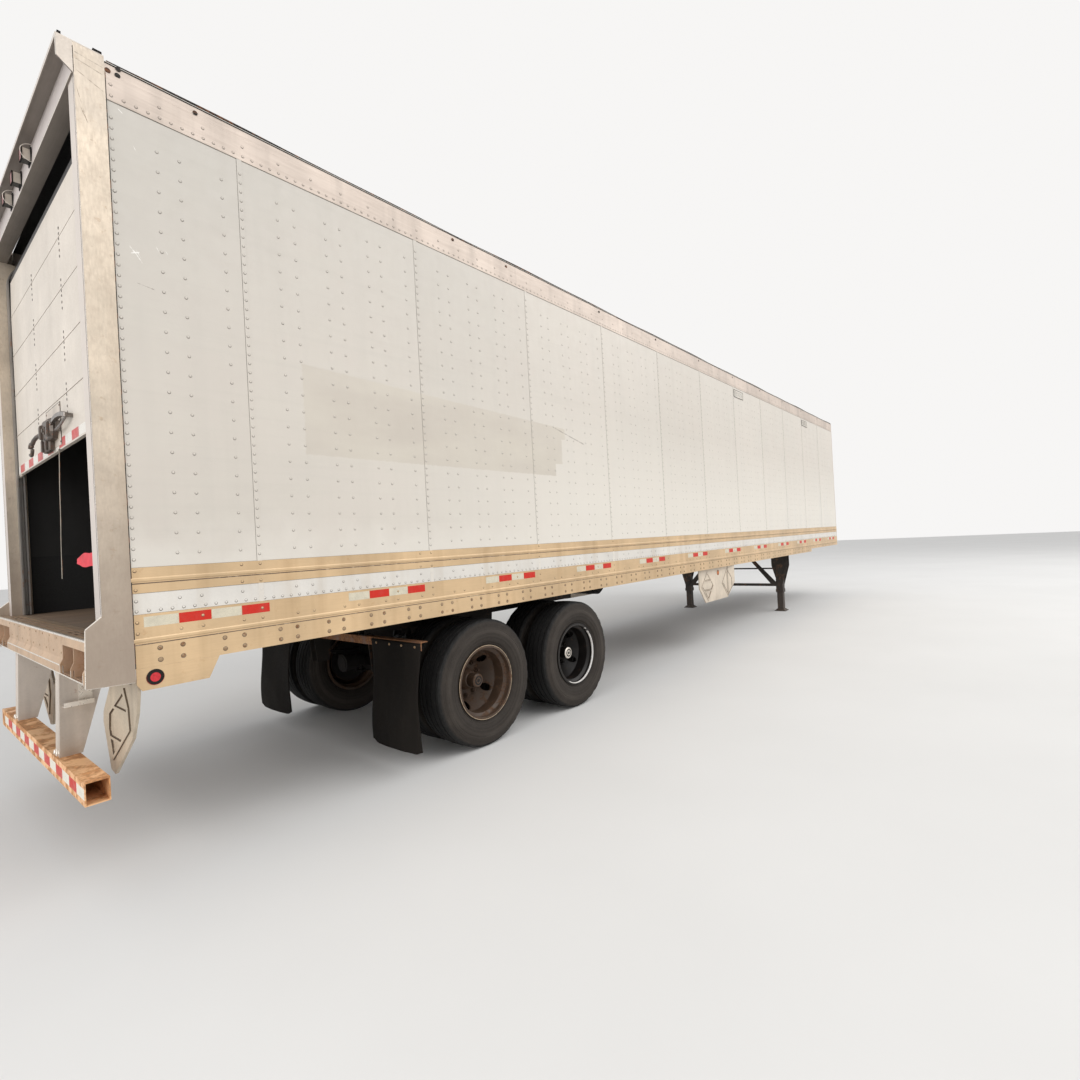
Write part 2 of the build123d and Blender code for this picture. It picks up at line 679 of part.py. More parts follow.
# Door latch on the bottom panel: keeper plate, cast body, hanging lever, eye on an arm and a strap handle
latch_proud = 60.0
latch_right_y = -250.0
latch_left_y = -120.0
latch_low_z = door_bottom_z + 67.0
latch_top_z = door_bottom_z + 205.0
latch_eye_y = 300.0
latch_handle_y = -650.0
with BuildPart() as door_latch:
    latch_x = door_x - door_panel_thickness / 2 - seat_gap
    block(latch_x - 4, latch_x, -270, 200, door_bottom_z + 12, door_bottom_z + door_panel_height - 22)
    along_y([(latch_x - 3, latch_top_z), (latch_x - latch_proud * 0.7, latch_top_z - 10),
             (latch_x - latch_proud, latch_top_z - 50), (latch_x - latch_proud, latch_low_z + 24),
             (latch_x - latch_proud * 0.8, latch_low_z), (latch_x - 3, latch_low_z)], latch_right_y, latch_left_y)
    along_y([(latch_x - 24, latch_low_z + 30), (latch_x - 52, latch_low_z + 30), (latch_x - 44, door_bottom_z + 6),
             (latch_x - 28, door_bottom_z + 6)], latch_left_y - 50, latch_left_y)
    along_x([(latch_left_y - 1, latch_top_z - 76), (latch_left_y - 1, latch_top_z - 46), (latch_left_y + 90, latch_top_z - 48),
             (latch_eye_y, latch_top_z - 82), (latch_eye_y, latch_top_z - 108), (latch_left_y + 80, latch_top_z - 78)],
            latch_x - 50, latch_x - 34)
    round_bar_y(latch_x - 45, latch_top_z - 96, 21, latch_eye_y - 4, latch_eye_y + 12)
    block(latch_x - 66, latch_x - 22, latch_eye_y - 6, latch_eye_y + 22, latch_top_z - 136, latch_top_z - 114)
    block(latch_x - 36, latch_x - 20, latch_right_y - 220, latch_right_y + 1, latch_top_z - 66, latch_top_z - 36)
    block(latch_x - 40, latch_x - 30, latch_handle_y, latch_right_y - 190, latch_top_z - 86, latch_top_z - 16)
    block(latch_x - 38, latch_x - 3, latch_handle_y, latch_handle_y + 12, latch_top_z - 80, latch_top_z - 20)
keep(door_latch, "door_latch")

# Pull strap hanging from the door's foot
with BuildPart() as pull_strap:
    strap_top_z = door_bottom_z + 8
    along_x([(strap_y - strap_sway, strap_top_z), (strap_y - strap_sway + strap_width, strap_top_z),
             (strap_y + strap_sway + strap_width, strap_top_z - strap_length),
             (strap_y + strap_sway, strap_top_z - strap_length)], latch_x - strap_thickness, latch_x)
keep(pull_strap, "pull_strap")

# Balance shaft with its springs and cable drums, behind the header under the roof
shaft_x = curve_x + door_curve_radius + 60
shaft_z = track_top_z - 95
with BuildPart() as door_balance_shaft:
    round_bar_y(shaft_x, shaft_z, 13, -lining_y + seat_gap, lining_y - seat_gap)
    for side in (-1, 1):
        low, high = sorted((side * 90, side * 820))
        round_bar_y(shaft_x, shaft_z, 32, low, high)
        low, high = sorted((side * 1010, side * 1075))
        round_bar_y(shaft_x, shaft_z, 55, low, high)
keep(door_balance_shaft, "door_balance_shaft")

# Lamp bracket plates under the rail at the rear, one each side
with BuildPart() as lamp_brackets:
    plate_x = sheet_rear_x + 3
    plate_low_z = rail_bottom_z - marker_plate_drop
    marker_x = sheet_rear_x + 82
    marker_z = rail_bottom_z - 53
    along_y([(plate_x, rail_bottom_z - seat_gap), (plate_x + marker_plate_length, rail_bottom_z - seat_gap),
             (plate_x + marker_plate_length - 55, plate_low_z), (plate_x + 22, plate_low_z),
             (plate_x, plate_low_z + 34)], rail_y - marker_plate, rail_y)
    round_bar_y(marker_x, marker_z, marker_radius - 4, rail_y - marker_plate - 1, rail_y + 1, mode=Mode.SUBTRACT)
    mirror(about=Plane.XZ)
keep(lamp_brackets, "lamp_brackets")

# Mid fairings: a skirt panel each side with raised diamond ribs, flared at its front end
fairing_x0 = sheet_rear_x + fairing_rear
fairing_x1 = fairing_x0 + fairing_length
fairing_fold_x = fairing_x1 - fairing_fold
fairing_mid_x = fairing_x0 + fairing_lamp_from_rear
fairing_lamp_z = rail_bottom_z - 78
fairing_hanger = math.ceil((fairing_rear - cross_first) / cross_pitch)
with BuildPart() as mid_fairings:
    along_z([(fairing_x0, fairing_y - fairing_plate), (fairing_fold_x, fairing_y - fairing_plate),
             (fairing_x1, fairing_y - fairing_plate + fairing_flare), (fairing_x1, fairing_y + fairing_flare),
             (fairing_fold_x, fairing_y), (fairing_x0, fairing_y)], fairing_bottom_z, rail_bottom_z - seat_gap)
    for tip_x, corner_x in ((fairing_x0 - 1, fairing_x0 + fairing_corner), (fairing_x1 + 1, fairing_x1 - fairing_corner)):
        along_y([(tip_x, fairing_bottom_z - 1), (corner_x, fairing_bottom_z - 1), (tip_x, fairing_corner_z)],
                fairing_y - 100, fairing_y + 100, mode=Mode.SUBTRACT)
    rib_mid_z = (fairing_bottom_z + rail_bottom_z) / 2 - 10
    rib_low = fairing_rib_half - fairing_rib_width * math.sqrt(2)
    rib_x = fairing_x0 + fairing_rib_half + 62
    rib_outer = [(rib_x - fairing_rib_half, rib_mid_z), (rib_x, rib_mid_z - fairing_rib_half),
                 (rib_x + fairing_rib_half, rib_mid_z), (rib_x, rib_mid_z + fairing_rib_half)]
    along_y(rib_outer, fairing_y - 1, fairing_y + fairing_rib_proud)
    for low_z, high_z in ((-rib_low, -fairing_rib_half / 3 - 6), (-fairing_rib_half / 3 + 6, fairing_rib_half / 3 - 6),
                          (fairing_rib_half / 3 + 6, rib_low)):
        cell = [(rib_x - (rib_low - abs(z)), rib_mid_z + z) for z in (low_z, min(max(0, low_z), high_z), high_z)]
        cell += [(rib_x + (rib_low - abs(z)), rib_mid_z + z) for z in (high_z, min(max(0, low_z), high_z), low_z)]
        corners = []
        for point in cell:
            if point not in corners:
                corners.append(point)
        along_y(corners, fairing_y, fairing_y + fairing_rib_proud + 1, mode=Mode.SUBTRACT)
    rib_x = fairing_fold_x - 3
    along_y([(rib_x, rib_mid_z - fairing_rib_half), (rib_x, rib_mid_z + fairing_rib_half),
             (rib_x - fairing_rib_half, rib_mid_z)], fairing_y - 1, fairing_y + fairing_rib_proud)
    along_y([(rib_x - fairing_rib_width, rib_mid_z - rib_low + fairing_rib_width),
             (rib_x - fairing_rib_width, rib_mid_z + rib_low - fairing_rib_width), (rib_x - rib_low, rib_mid_z)],
            fairing_y, fairing_y + fairing_rib_proud + 1, mode=Mode.SUBTRACT)
    round_bar_y(fairing_mid_x, fairing_lamp_z, marker_radius - 4, fairing_y - 40, fairing_y + 40, mode=Mode.SUBTRACT)
    for n in (fairing_hanger, fairing_hanger + 2):
        beam_x = sheet_rear_x + cross_first + n * cross_pitch
        block(beam_x - 25, beam_x + 25, fairing_y - fairing_plate - 50, fairing_y - fairing_plate + 1,
              cross_bottom_z - 130, cross_bottom_z)
    mirror(about=Plane.XZ)
keep(mid_fairings, "mid_fairings")

# Side lamps: red at the rear corners, amber on the fairings and at the front of the roof
with BuildPart() as side_lamps:
    for lamp_x, lamp_y, lamp_z in ((marker_x, rail_y, marker_z), (fairing_mid_x, fairing_y, fairing_lamp_z)):
        back = lamp_y - marker_depth
        round_bar_y(lamp_x, lamp_z, marker_radius - 4 - seat_gap, back, lamp_y + 1)
        round_bar_y(lamp_x, lamp_z, marker_radius, lamp_y + seat_gap, lamp_y + 3)
    mirror(about=Plane.XZ)
keep(side_lamps, "side_lamps")

# Vents under the top rail, two on each side
with BuildPart() as vents:
    for vent_x in (seam_xs[-5] + vent_from_seam, seam_xs[-2] + vent_from_seam):
        block(vent_x, vent_x + vent_length, sheet_y + seat_gap, sheet_y + vent_proud, vent_top_z - vent_height, vent_top_z)
        block(vent_x + 14, vent_x + vent_length - 14, sheet_y + 2.5, sheet_y + vent_proud + 1,
              vent_top_z - vent_height + 14, vent_top_z - 14, mode=Mode.SUBTRACT)
    mirror(about=Plane.XZ)
keep(vents, "vents")

# Coupler plate under the nose, bent up at its front edge and bored for the kingpin
kingpin_x = front_x - kingpin_setback
coupler_x1 = front_x - coupler_from_front
coupler_x0 = coupler_x1 - coupler_length
coupler_top_z = coupler_bottom_z + coupler_plate
coupler_ramp = 130.0
coupler_lift = 26.0
with BuildPart() as coupler:
    along_y([(coupler_x0, coupler_bottom_z), (coupler_x1 - coupler_ramp, coupler_bottom_z),
             (coupler_x1, coupler_bottom_z + coupler_lift), (coupler_x1, coupler_top_z + coupler_lift),
             (coupler_x1 - coupler_ramp, coupler_top_z), (coupler_x0, coupler_top_z)],
            -coupler_width / 2, coupler_width / 2)
    with Locations((kingpin_x, 0, coupler_bottom_z + coupler_plate / 2)):
        Cylinder(kingpin_head_radius, coupler_plate + 2, mode=Mode.SUBTRACT)
keep(coupler, "coupler_plate")

# Kingpin: its head in the plate, a neck for the jaws and a collar at the foot
with BuildPart() as kingpin:
    pin_foot_z = coupler_bottom_z - kingpin_length
    head_radius = kingpin_head_radius - seat_gap
    pin_steps = ((kingpin_collar_radius, pin_foot_z, kingpin_collar_height),
                 (kingpin_neck_radius, pin_foot_z + kingpin_collar_height, kingpin_neck_height),
                 (head_radius, pin_foot_z + kingpin_collar_height + kingpin_neck_height,
                  coupler_top_z - pin_foot_z - kingpin_collar_height - kingpin_neck_height))
    for step_radius, step_z, step_height in pin_steps:
        with BuildSketch(Plane.XY.offset(step_z)):
            with Locations((kingpin_x, 0)):
                Circle(step_radius)
        extrude(amount=step_height)
keep(kingpin, "kingpin")

# Nose box with the electric socket and the two air couplings
nose_z = rail_top_z + 90.0
socket_radius = 27.0
socket_bore = 21.0
coupling_y = 230.0
with BuildPart() as nose_box:
    block(front_x - seam_step, front_x + 4, -300, 300, nose_z - 70, nose_z + 70)
    block(front_x + 3, front_x + 24, -60, 60, nose_z - 55, nose_z + 55)
    round_bar_x(0, nose_z, socket_radius, front_x + 20, front_x + nose_box_proud)
    round_bar_x(0, nose_z, socket_bore, front_x + 30, front_x + nose_box_proud + 1, mode=Mode.SUBTRACT)
    for side in (-1, 1):
        round_bar_x(side * coupling_y, nose_z, 17, front_x + 3, front_x + 40)
        block(front_x + 16, front_x + 46, side * coupling_y - 32, side * coupling_y + 32, nose_z - 46, nose_z - 10)
keep(nose_box, "nose_box")

# Landing gear: housings, sliding inner legs with feet, the shaft between and the braces
leg_x = front_x - leg_from_front
leg_half = leg_size / 2
leg_inner = leg_half - leg_wall - seat_gap
with BuildPart() as leg_housings:
    housing_top_z = cross_bottom_z - leg_top_plate
    for side in (-1, 1):
        mid_y = side * leg_y
        block(leg_x - leg_half, leg_x + leg_half, mid_y - leg_half, mid_y + leg_half, leg_housing_bottom_z, housing_top_z)
        collar = leg_half + leg_collar_proud
        block(leg_x - collar, leg_x + collar, mid_y - collar, mid_y + collar, leg_housing_bottom_z,
              leg_housing_bottom_z + leg_collar_height)
        block(leg_x - leg_half + leg_wall, leg_x + leg_half - leg_wall, mid_y - leg_half + leg_wall,
              mid_y + leg_half - leg_wall, leg_housing_bottom_z - 1, housing_top_z - 12, mode=Mode.SUBTRACT)
        plate_y = side * (leg_y + leg_gusset_offset)
        block(leg_x - leg_top_plate_half, leg_x + leg_top_plate_half, plate_y - leg_gusset_half,
              plate_y + leg_gusset_half, housing_top_z, cross_bottom_z)
        outline = [(-leg_gusset_half, housing_top_z + 1), (-leg_gusset_half, leg_gusset_shoulder_z),
                   (-leg_gusset_tip_half, leg_gusset_low_z), (leg_gusset_tip_half, leg_gusset_low_z),
                   (leg_gusset_half, leg_gusset_shoulder_z), (leg_gusset_half, housing_top_z + 1)]
        window_out = leg_gusset_half - leg_gusset_bar
        window = [(window_out, leg_gusset_shoulder_z - 8), (window_out - 24, leg_gusset_shoulder_z - 8),
                  (30, leg_gusset_shoulder_z - 140), (14, leg_gusset_shoulder_z - 160), (14, leg_gusset_low_z + 110)]
        for end in (-1, 1):
            face_x = leg_x + end * leg_half
            low, high = sorted((face_x, face_x + end * leg_gusset_plate))
            along_x([(plate_y + y, z) for y, z in outline], low, high)
            for hand in (-1, 1):
                low, high = sorted((face_x + end * 0.01, face_x + end * (leg_gusset_plate + 1)))
                along_x([(plate_y + hand * y, z) for y, z in window], low, high, mode=Mode.SUBTRACT)
keep(leg_housings, "landing_gear_housings")

with BuildPart() as legs:
    for side in (-1, 1):
        mid_y = side * leg_y
        block(leg_x - leg_inner, leg_x + leg_inner, mid_y - leg_inner, mid_y + leg_inner, foot_height - 1,
              leg_housing_bottom_z + leg_overlap)
        block(leg_x - foot_size / 2, leg_x + foot_size / 2, mid_y - foot_size / 2, mid_y + foot_size / 2, 0, 12)
        with BuildSketch(Plane.XY.offset(12)):
            with Locations((leg_x, mid_y)):
                Rectangle(foot_size - 20, foot_size - 20)
        with BuildSketch(Plane.XY.offset(foot_height)):
            with Locations((leg_x, mid_y)):
                Rectangle(2 * leg_inner + 16, 2 * leg_inner + 16)
        loft(ruled=True)
keep(legs, "landing_gear_legs")

# Braces: one bar between the legs and a sloping bar from each leg up to a plate under the crossmembers
with BuildPart() as leg_braces:
    shaft_half = leg_y - leg_half - seat_gap
    brace_x0 = leg_x - leg_half + 2
    brace_x1 = brace_x0 + leg_brace_size
    brace_top_z = cross_bottom_z - leg_top_plate
    block(brace_x0, brace_x1, -shaft_half, shaft_half, leg_brace_z, leg_brace_z + leg_brace_size)
    for side in (-1, 1):
        edge_y = side * shaft_half
        high_y = side * (shaft_half - leg_brace_reach)
        along_x([(edge_y, leg_brace_z), (edge_y, leg_brace_z + 1.4 * leg_brace_size), (high_y, brace_top_z),
                 (high_y - side * 1.2 * leg_brace_size, brace_top_z), (edge_y - side * 1.2 * leg_brace_size, leg_brace_z)],
                brace_x0, brace_x1)
        low, high = sorted((high_y - side * 90, high_y + side * 40))
        block(leg_x - leg_top_plate_half, leg_x + leg_top_plate_half, low, high, brace_top_z - 1, cross_bottom_z)
keep(leg_braces, "landing_gear_braces")

with BuildPart() as leg_crank:
    crank_y = leg_y + leg_half
    shaft_clear = 5.0
    leg_shaft_x = brace_x1 + leg_shaft_radius + shaft_clear
    round_bar_y(leg_shaft_x, leg_shaft_z, leg_shaft_radius, -shaft_half, shaft_half)
    block(leg_x - 50, leg_x + 50, crank_y + seat_gap, crank_y + 90, leg_shaft_z - 60, leg_shaft_z + 70)
    round_bar_y(leg_x, leg_shaft_z, 13, crank_y + 80, crank_y + 190)
    block(leg_x - 12, leg_x + 300, crank_y + 176, crank_y + 200, leg_shaft_z - 12, leg_shaft_z + 12)
    round_bar_y(leg_x + 288, leg_shaft_z, 14, crank_y + 60, crank_y + 190)
keep(leg_crank, "landing_gear_crank")

# Slide rails under the crossmembers, for the sliding bogie
slide_x0 = sheet_rear_x + slide_rail_start
slide_bottom_z = cross_bottom_z - slide_rail_height
slide_half = slide_rail_width / 2
with BuildPart() as slide_rails:
    for side in (-1, 1):
        mid = side * spring_y
        outer = mid + side * slide_half
        inner = mid - side * slide_half
        wall = side * slide_rail_wall
        along_x([(inner, slide_bottom_z), (outer, slide_bottom_z), (outer, cross_bottom_z), (inner, cross_bottom_z),
                 (inner, cross_bottom_z - slide_rail_wall), (outer - wall, cross_bottom_z - slide_rail_wall),
                 (outer - wall, slide_bottom_z + slide_rail_wall), (inner, slide_bottom_z + slide_rail_wall)],
                slide_x0, slide_x0 + slide_rail_length)
keep(slide_rails, "slide_rails")

# Bogie frame: box rails, cross tubes and the spring hangers
rear_axle_x = sheet_rear_x + rear_axle_from_sheet
front_axle_x = rear_axle_x + axle_spacing
axle_z = tyre_radius
bogie_mid_x = (rear_axle_x + front_axle_x) / 2
bogie_x0 = rear_axle_x - bogie_rear_reach
bogie_x1 = front_axle_x + bogie_front_reach
bogie_bottom_z = slide_bottom_z - bogie_rail_height
spring_reach = spring_half_length
spring_low_z = axle_z + axle_radius + spring_seat_height
spring_top_z = spring_low_z + 3 * spring_leaf
spring_end_z = spring_top_z + spring_camber
bogie_half = bogie_rail_width / 2
hanger_half = hanger_width / 2
hanger_low_z = bogie_bottom_z - hanger_drop
hanger_xs = (rear_axle_x - spring_reach, bogie_mid_x, front_axle_x + spring_reach)
with BuildPart() as bogie_frame:
    for side in (-1, 1):
        mid = side * spring_y
        block(bogie_x0, bogie_x1, mid - bogie_half, mid + bogie_half, bogie_bottom_z, slide_bottom_z)
        block(bogie_x0 - 1, bogie_x1 + 1, mid - bogie_half + bogie_rail_wall, mid + bogie_half - bogie_rail_wall,
              bogie_bottom_z + bogie_rail_wall, slide_bottom_z - bogie_rail_wall, mode=Mode.SUBTRACT)
        for hanger_x in hanger_xs:
            for plate_y in (mid - hanger_half, mid + hanger_half - hanger_plate):
                along_y([(hanger_x - hanger_length / 2, bogie_bottom_z + 1), (hanger_x - 60, hanger_low_z),
                         (hanger_x + 60, hanger_low_z), (hanger_x + hanger_length / 2, bogie_bottom_z + 1)],
                        plate_y, plate_y + hanger_plate)
        for hanger_x in (hanger_xs[0], hanger_xs[2]):
            block(hanger_x - 40, hanger_x + 40, mid - hanger_half + 1, mid + hanger_half - 1,
                  spring_end_z + seat_gap, spring_end_z + 40)
    for tube_x in (bogie_x0 + 70, bogie_mid_x - 50, bogie_x1 - 170):
        block(tube_x, tube_x + bogie_cross_size, -spring_y + bogie_half - 1, spring_y - bogie_half + 1,
              bogie_bottom_z + 10, bogie_bottom_z + 10 + bogie_cross_size)
keep(bogie_frame, "bogie_frame")

# Leaf springs: three leaves, longest on top, ends raised
spring_round = (spring_reach ** 2 + spring_camber ** 2) / (2 * spring_camber)
leaf_table = ((spring_reach, 0), (340.0, 1), (210.0, 2))
with BuildPart() as leaf_springs:
    for axle_x in (rear_axle_x, front_axle_x):
        for side in (-1, 1):
            for half_length, leaf in leaf_table:
                top_round = spring_round + leaf * spring_leaf
                low_round = top_round + spring_leaf
                centre_z = spring_top_z + spring_round
                top_end_z = centre_z - math.sqrt(top_round ** 2 - half_length ** 2)
                low_end_z = centre_z - math.sqrt(low_round ** 2 - half_length ** 2)
                with BuildSketch(Plane.XZ.offset(-(side * spring_y + spring_width / 2))):
                    with BuildLine():
                        ThreePointArc((axle_x - half_length, top_end_z), (axle_x, centre_z - top_round),
                                      (axle_x + half_length, top_end_z))
                        Line((axle_x + half_length, top_end_z), (axle_x + half_length, low_end_z))
                        ThreePointArc((axle_x + half_length, low_end_z), (axle_x, centre_z - low_round),
                                      (axle_x - half_length, low_end_z))
                        Line((axle_x - half_length, low_end_z), (axle_x - half_length, top_end_z))
                    make_face()
                extrude(amount=spring_width)
keep(leaf_springs, "leaf_springs")

# Spring clamps: a plate above and below each spring seat, joined by four rods
clamp_x = axle_radius + 11.0
clamp_y = spring_width / 2 + 9.0
with BuildPart() as spring_clamps:
    for axle_x in (rear_axle_x, front_axle_x):
        for side in (-1, 1):
            mid = side * spring_y
            plate_z = spring_top_z + seat_gap + 0.5
            block(axle_x - clamp_x - 14, axle_x + clamp_x + 14, mid - clamp_y - 12, mid + clamp_y + 12,
                  plate_z + 3, plate_z + 17)
            block(axle_x - 40, axle_x + 40, mid - 30, mid + 30, plate_z, plate_z + 4)
            block(axle_x - clamp_x - 14, axle_x + clamp_x + 14, mid - clamp_y - 12, mid + clamp_y + 12,
                  axle_z - axle_radius - seat_gap - 13, axle_z - axle_radius - seat_gap)
            for rod_x in (-clamp_x, clamp_x):
                for rod_y in (-clamp_y, clamp_y):
                    with BuildSketch(Plane.XY.offset(axle_z - axle_radius - 30)):
                        with Locations((axle_x + rod_x, mid + rod_y)):
                            Circle(7.5)
                    extrude(amount=spring_top_z - axle_z + axle_radius + 66)
keep(spring_clamps, "spring_clamps")

# Equalizers: rocking beams in the middle hangers, over the ends of both springs
with BuildPart() as equalizers:
    for side in (-1, 1):
        mid = side * spring_y
        end_z = spring_end_z + seat_gap
        reach = equalizer_length / 2 + 20
        along_y([(bogie_mid_x - reach, end_z), (bogie_mid_x - reach + 60, end_z), (bogie_mid_x - 60, end_z + 30),
                 (bogie_mid_x + 60, end_z + 30), (bogie_mid_x + reach - 60, end_z), (bogie_mid_x + reach, end_z),
                 (bogie_mid_x + reach, end_z + 40), (bogie_mid_x + 60, end_z + 120), (bogie_mid_x - 60, end_z + 120),
                 (bogie_mid_x - reach, end_z + 40)], mid - spring_width / 2, mid + spring_width / 2)
        round_bar_y(bogie_mid_x, end_z + 76, 24, mid - hanger_half + hanger_plate + seat_gap,
                    mid + hanger_half - hanger_plate - seat_gap)
keep(equalizers, "equalizers")

# Radius rods from the hangers to the axles
with BuildPart() as radius_rods:
    rod_drop = 26.0
    for rod_x0, rod_x1 in ((rear_axle_x, hanger_xs[1]), (front_axle_x, hanger_xs[2])):
        for side in (-1, 1):
            mid = side * spring_y
            start = rod_x0 + axle_radius + 1.0
            along_y([(start, axle_z - 22), (start, axle_z + 22), (rod_x1 - 30, hanger_low_z + 56),
                     (rod_x1 + 30, hanger_low_z + 56), (rod_x1 + 30, hanger_low_z + 12), (rod_x1 - 30, hanger_low_z + 12)],
                    mid - 18, mid + 18)
            round_bar_y(rod_x1, hanger_low_z + 34, 15, mid - hanger_half + hanger_plate + seat_gap,
                        mid + hanger_half - hanger_plate - seat_gap)
keep(radius_rods, "radius_rods")

# Axles: a round tube with spindles, spring seats, brake spiders and cam shafts
outer_tyre_y = half_width - outer_tyre_inset - tyre_width / 2
inner_tyre_y = outer_tyre_y - dual_spacing
mount_y = (outer_tyre_y + inner_tyre_y) / 2
hub_inner_y = mount_y - hub_length / 2 - 40.0
hub_outer_y = mount_y + hub_length / 2 + 40.0
spindle_end_y = hub_outer_y + 8.0
drum_inner_y = mount_y - drum_length - 8.0
with BuildPart() as axles:
    for axle_x in (rear_axle_x, front_axle_x):
        round_bar_y(axle_x, axle_z, axle_radius, -(hub_inner_y - 10), hub_inner_y - 10)
        round_bar_y(axle_x, axle_z, spindle_radius, -spindle_end_y, spindle_end_y)
        for side in (-1, 1):
            mid = side * spring_y
            block(axle_x - axle_radius + 2, axle_x + axle_radius - 2, mid - spring_width / 2, mid + spring_width / 2,
                  axle_z, spring_low_z - seat_gap)
            low, high = sorted((side * (drum_inner_y - 14), side * (drum_inner_y - 6)))
            round_bar_y(axle_x, axle_z, drum_radius - 4, low, high)
            low, high = sorted((side * 300, side * (drum_inner_y - 8)))
            round_bar_y(axle_x - 120, axle_z + 70, 19, low, high)
            low, high = sorted((side * 292, side * 316))
            along_y([(axle_x - 150, axle_z + 40), (axle_x, axle_z - 40), (axle_x, axle_z + 50),
                     (axle_x - 150, axle_z + 110)], low, high)
keep(axles, "axles")

# Brake chambers beside the cam shafts
with BuildPart() as brake_chambers:
    for axle_x in (rear_axle_x, front_axle_x):
        for side in (-1, 1):
            chamber_x = axle_x - 150 - seat_gap
            round_bar_x(side * 304, axle_z + 74, 58, chamber_x - 215, chamber_x)
            round_bar_x(side * 304, axle_z + 74, 80, chamber_x - 90, chamber_x - 66)
            round_bar_x(side * 304, axle_z + 74, 82, chamber_x - 210, chamber_x - 186)
            round_bar_x(side * 304, axle_z + 74, 76, chamber_x - 190, chamber_x - 80)
keep(brake_chambers, "brake_chambers")

# Air tank under the crossmembers, held by two bands
tank_x = sheet_rear_x + cross_first + 17 * cross_pitch
tank_z = cross_bottom_z - tank_radius - 5
with BuildPart() as air_tank:
    round_bar_y(tank_x, tank_z, tank_radius, -tank_length / 2, tank_length / 2)
    round_bar_y(tank_x, tank_z, tank_radius - 30, -tank_length / 2 - 34, tank_length / 2 + 34)
    for band_y in (-240, 240):
        round_bar_y(tank_x, tank_z, tank_radius + 5, band_y - 20, band_y + 20)
keep(air_tank, "air_tank")

# Wheels: tyres in pairs, and one body of rims, hub and drum for each pair
bead_half = tyre_bead_width / 2
bead_radius = 286.0
tread_half = tyre_width / 2 - 16
side_half = tyre_width / 2
tyre_points = [(bead_radius + seat_gap, -bead_half), (rim_radius + 3, -bead_half), (bead_radius + 48, -side_half + 12),
               (400, -side_half), (tyre_radius - 62, -side_half + 3), (tyre_radius - 16, -tread_half - 3),
               (tyre_radius - 4, -tread_half + 12), (tyre_radius, -tread_half / 2),
               (tyre_radius, tread_half / 2), (tyre_radius - 4, tread_half - 12),
               (tyre_radius - 16, tread_half + 3), (tyre_radius - 62, side_half - 3), (400, side_half),
               (bead_radius + 48, side_half - 12), (rim_radius + 3, bead_half), (bead_radius + seat_gap, bead_half)]
rim_half = rim_width / 2
flange = 8.0
rim_points = [(rim_radius, -rim_half), (rim_radius, -rim_half + flange), (bead_radius, -rim_half + flange + 1),
              (bead_radius, -rim_half + 46), (rim_well_radius, -rim_half + 64), (rim_well_radius, rim_half - 64),
              (bead_radius, rim_half - 46), (bead_radius, rim_half - flange - 1), (rim_radius, rim_half - flange),
              (rim_radius, rim_half), (bead_radius - rim_wall, rim_half), (bead_radius - rim_wall, rim_half - 40),
              (rim_well_radius - rim_wall, rim_half - 60), (rim_well_radius - rim_wall, -rim_half + 60),
              (bead_radius - rim_wall, -rim_half + 40), (bead_radius - rim_wall, -rim_half)]


def turned(points, axle_x, centre_y, side, mode=Mode.ADD):
    """A ring about an axle, from a profile of (radius, distance out from the wheel's middle)."""
    with BuildSketch(Plane.XY.offset(axle_z)) as section:
        Polygon(*[(axle_x + r, side * (centre_y + out)) for r, out in points], align=None)
    revolve(section.sketch, axis=Axis((axle_x, 0, axle_z), (0, 1, 0)), mode=mode)


wheel_table = ((rear_axle_x, -1, "rear_right"), (rear_axle_x, 1, "rear_left"),
               (front_axle_x, -1, "front_right"), (front_axle_x, 1, "front_left"))
for axle_x, side, place in wheel_table:
    with BuildPart() as tyres:
        for centre_y in (outer_tyre_y, inner_tyre_y):
            turned(tyre_points, axle_x, centre_y, side)
    keep(tyres, "tyres_" + place)
    with BuildPart() as wheel:
        for centre_y in (outer_tyre_y, inner_tyre_y):
            turned(rim_points, axle_x, centre_y, side)
        disc = disc_thickness
        reach = dual_spacing / 2 - rim_half + 74
        turned([(hub_bore + 14, -disc), (168, -disc), (rim_well_radius - rim_wall / 2, -reach),
                (rim_well_radius - rim_wall / 2, -reach + disc + 4), (172, 0), (rim_well_radius - rim_wall / 2, reach - disc - 4),
                (rim_well_radius - rim_wall / 2, reach), (168, disc), (hub_bore + 14, disc)], axle_x, mount_y, side)
        hub_low = hub_inner_y - mount_y
        hub_high = hub_outer_y - mount_y
        turned([(hub_bore, hub_low), (hub_radius - 10, hub_low), (hub_radius, -30), (hub_radius, 30),
                (hub_radius - 8, 62), (hub_cap_radius + 8, hub_high - 4), (hub_cap_radius, hub_high),
                (hub_cap_radius, hub_high + hub_cap_length - 8), (hub_cap_radius - 10, hub_high + hub_cap_length),
                (0, hub_high + hub_cap_length), (0, hub_high + hub_cap_length - 12),
                (hub_bore, hub_high + hub_cap_length - 12)], axle_x, mount_y, side)
        drum_low = drum_inner_y - mount_y
        turned([(hub_radius - 12, -disc - 12), (drum_radius - drum_wall, -disc - 12),
                (drum_radius - drum_wall, drum_low), (drum_radius, drum_low), (drum_radius, -disc - 8),
                (160, -disc + 1), (hub_radius - 12, -disc + 1)], axle_x, mount_y, side)
        low, high = sorted((side * mount_y, side * (mount_y + 160)))
        with BuildSketch(Plane.XZ.offset(-high)):
            with Locations((axle_x, axle_z)):
                with PolarLocations(disc_hole_circle, disc_hole_count, start_angle=disc_hole_turn):
                    Circle(disc_hole_radius)
        extrude(amount=high - low, mode=Mode.SUBTRACT)
    keep(wheel, "wheel_" + place)

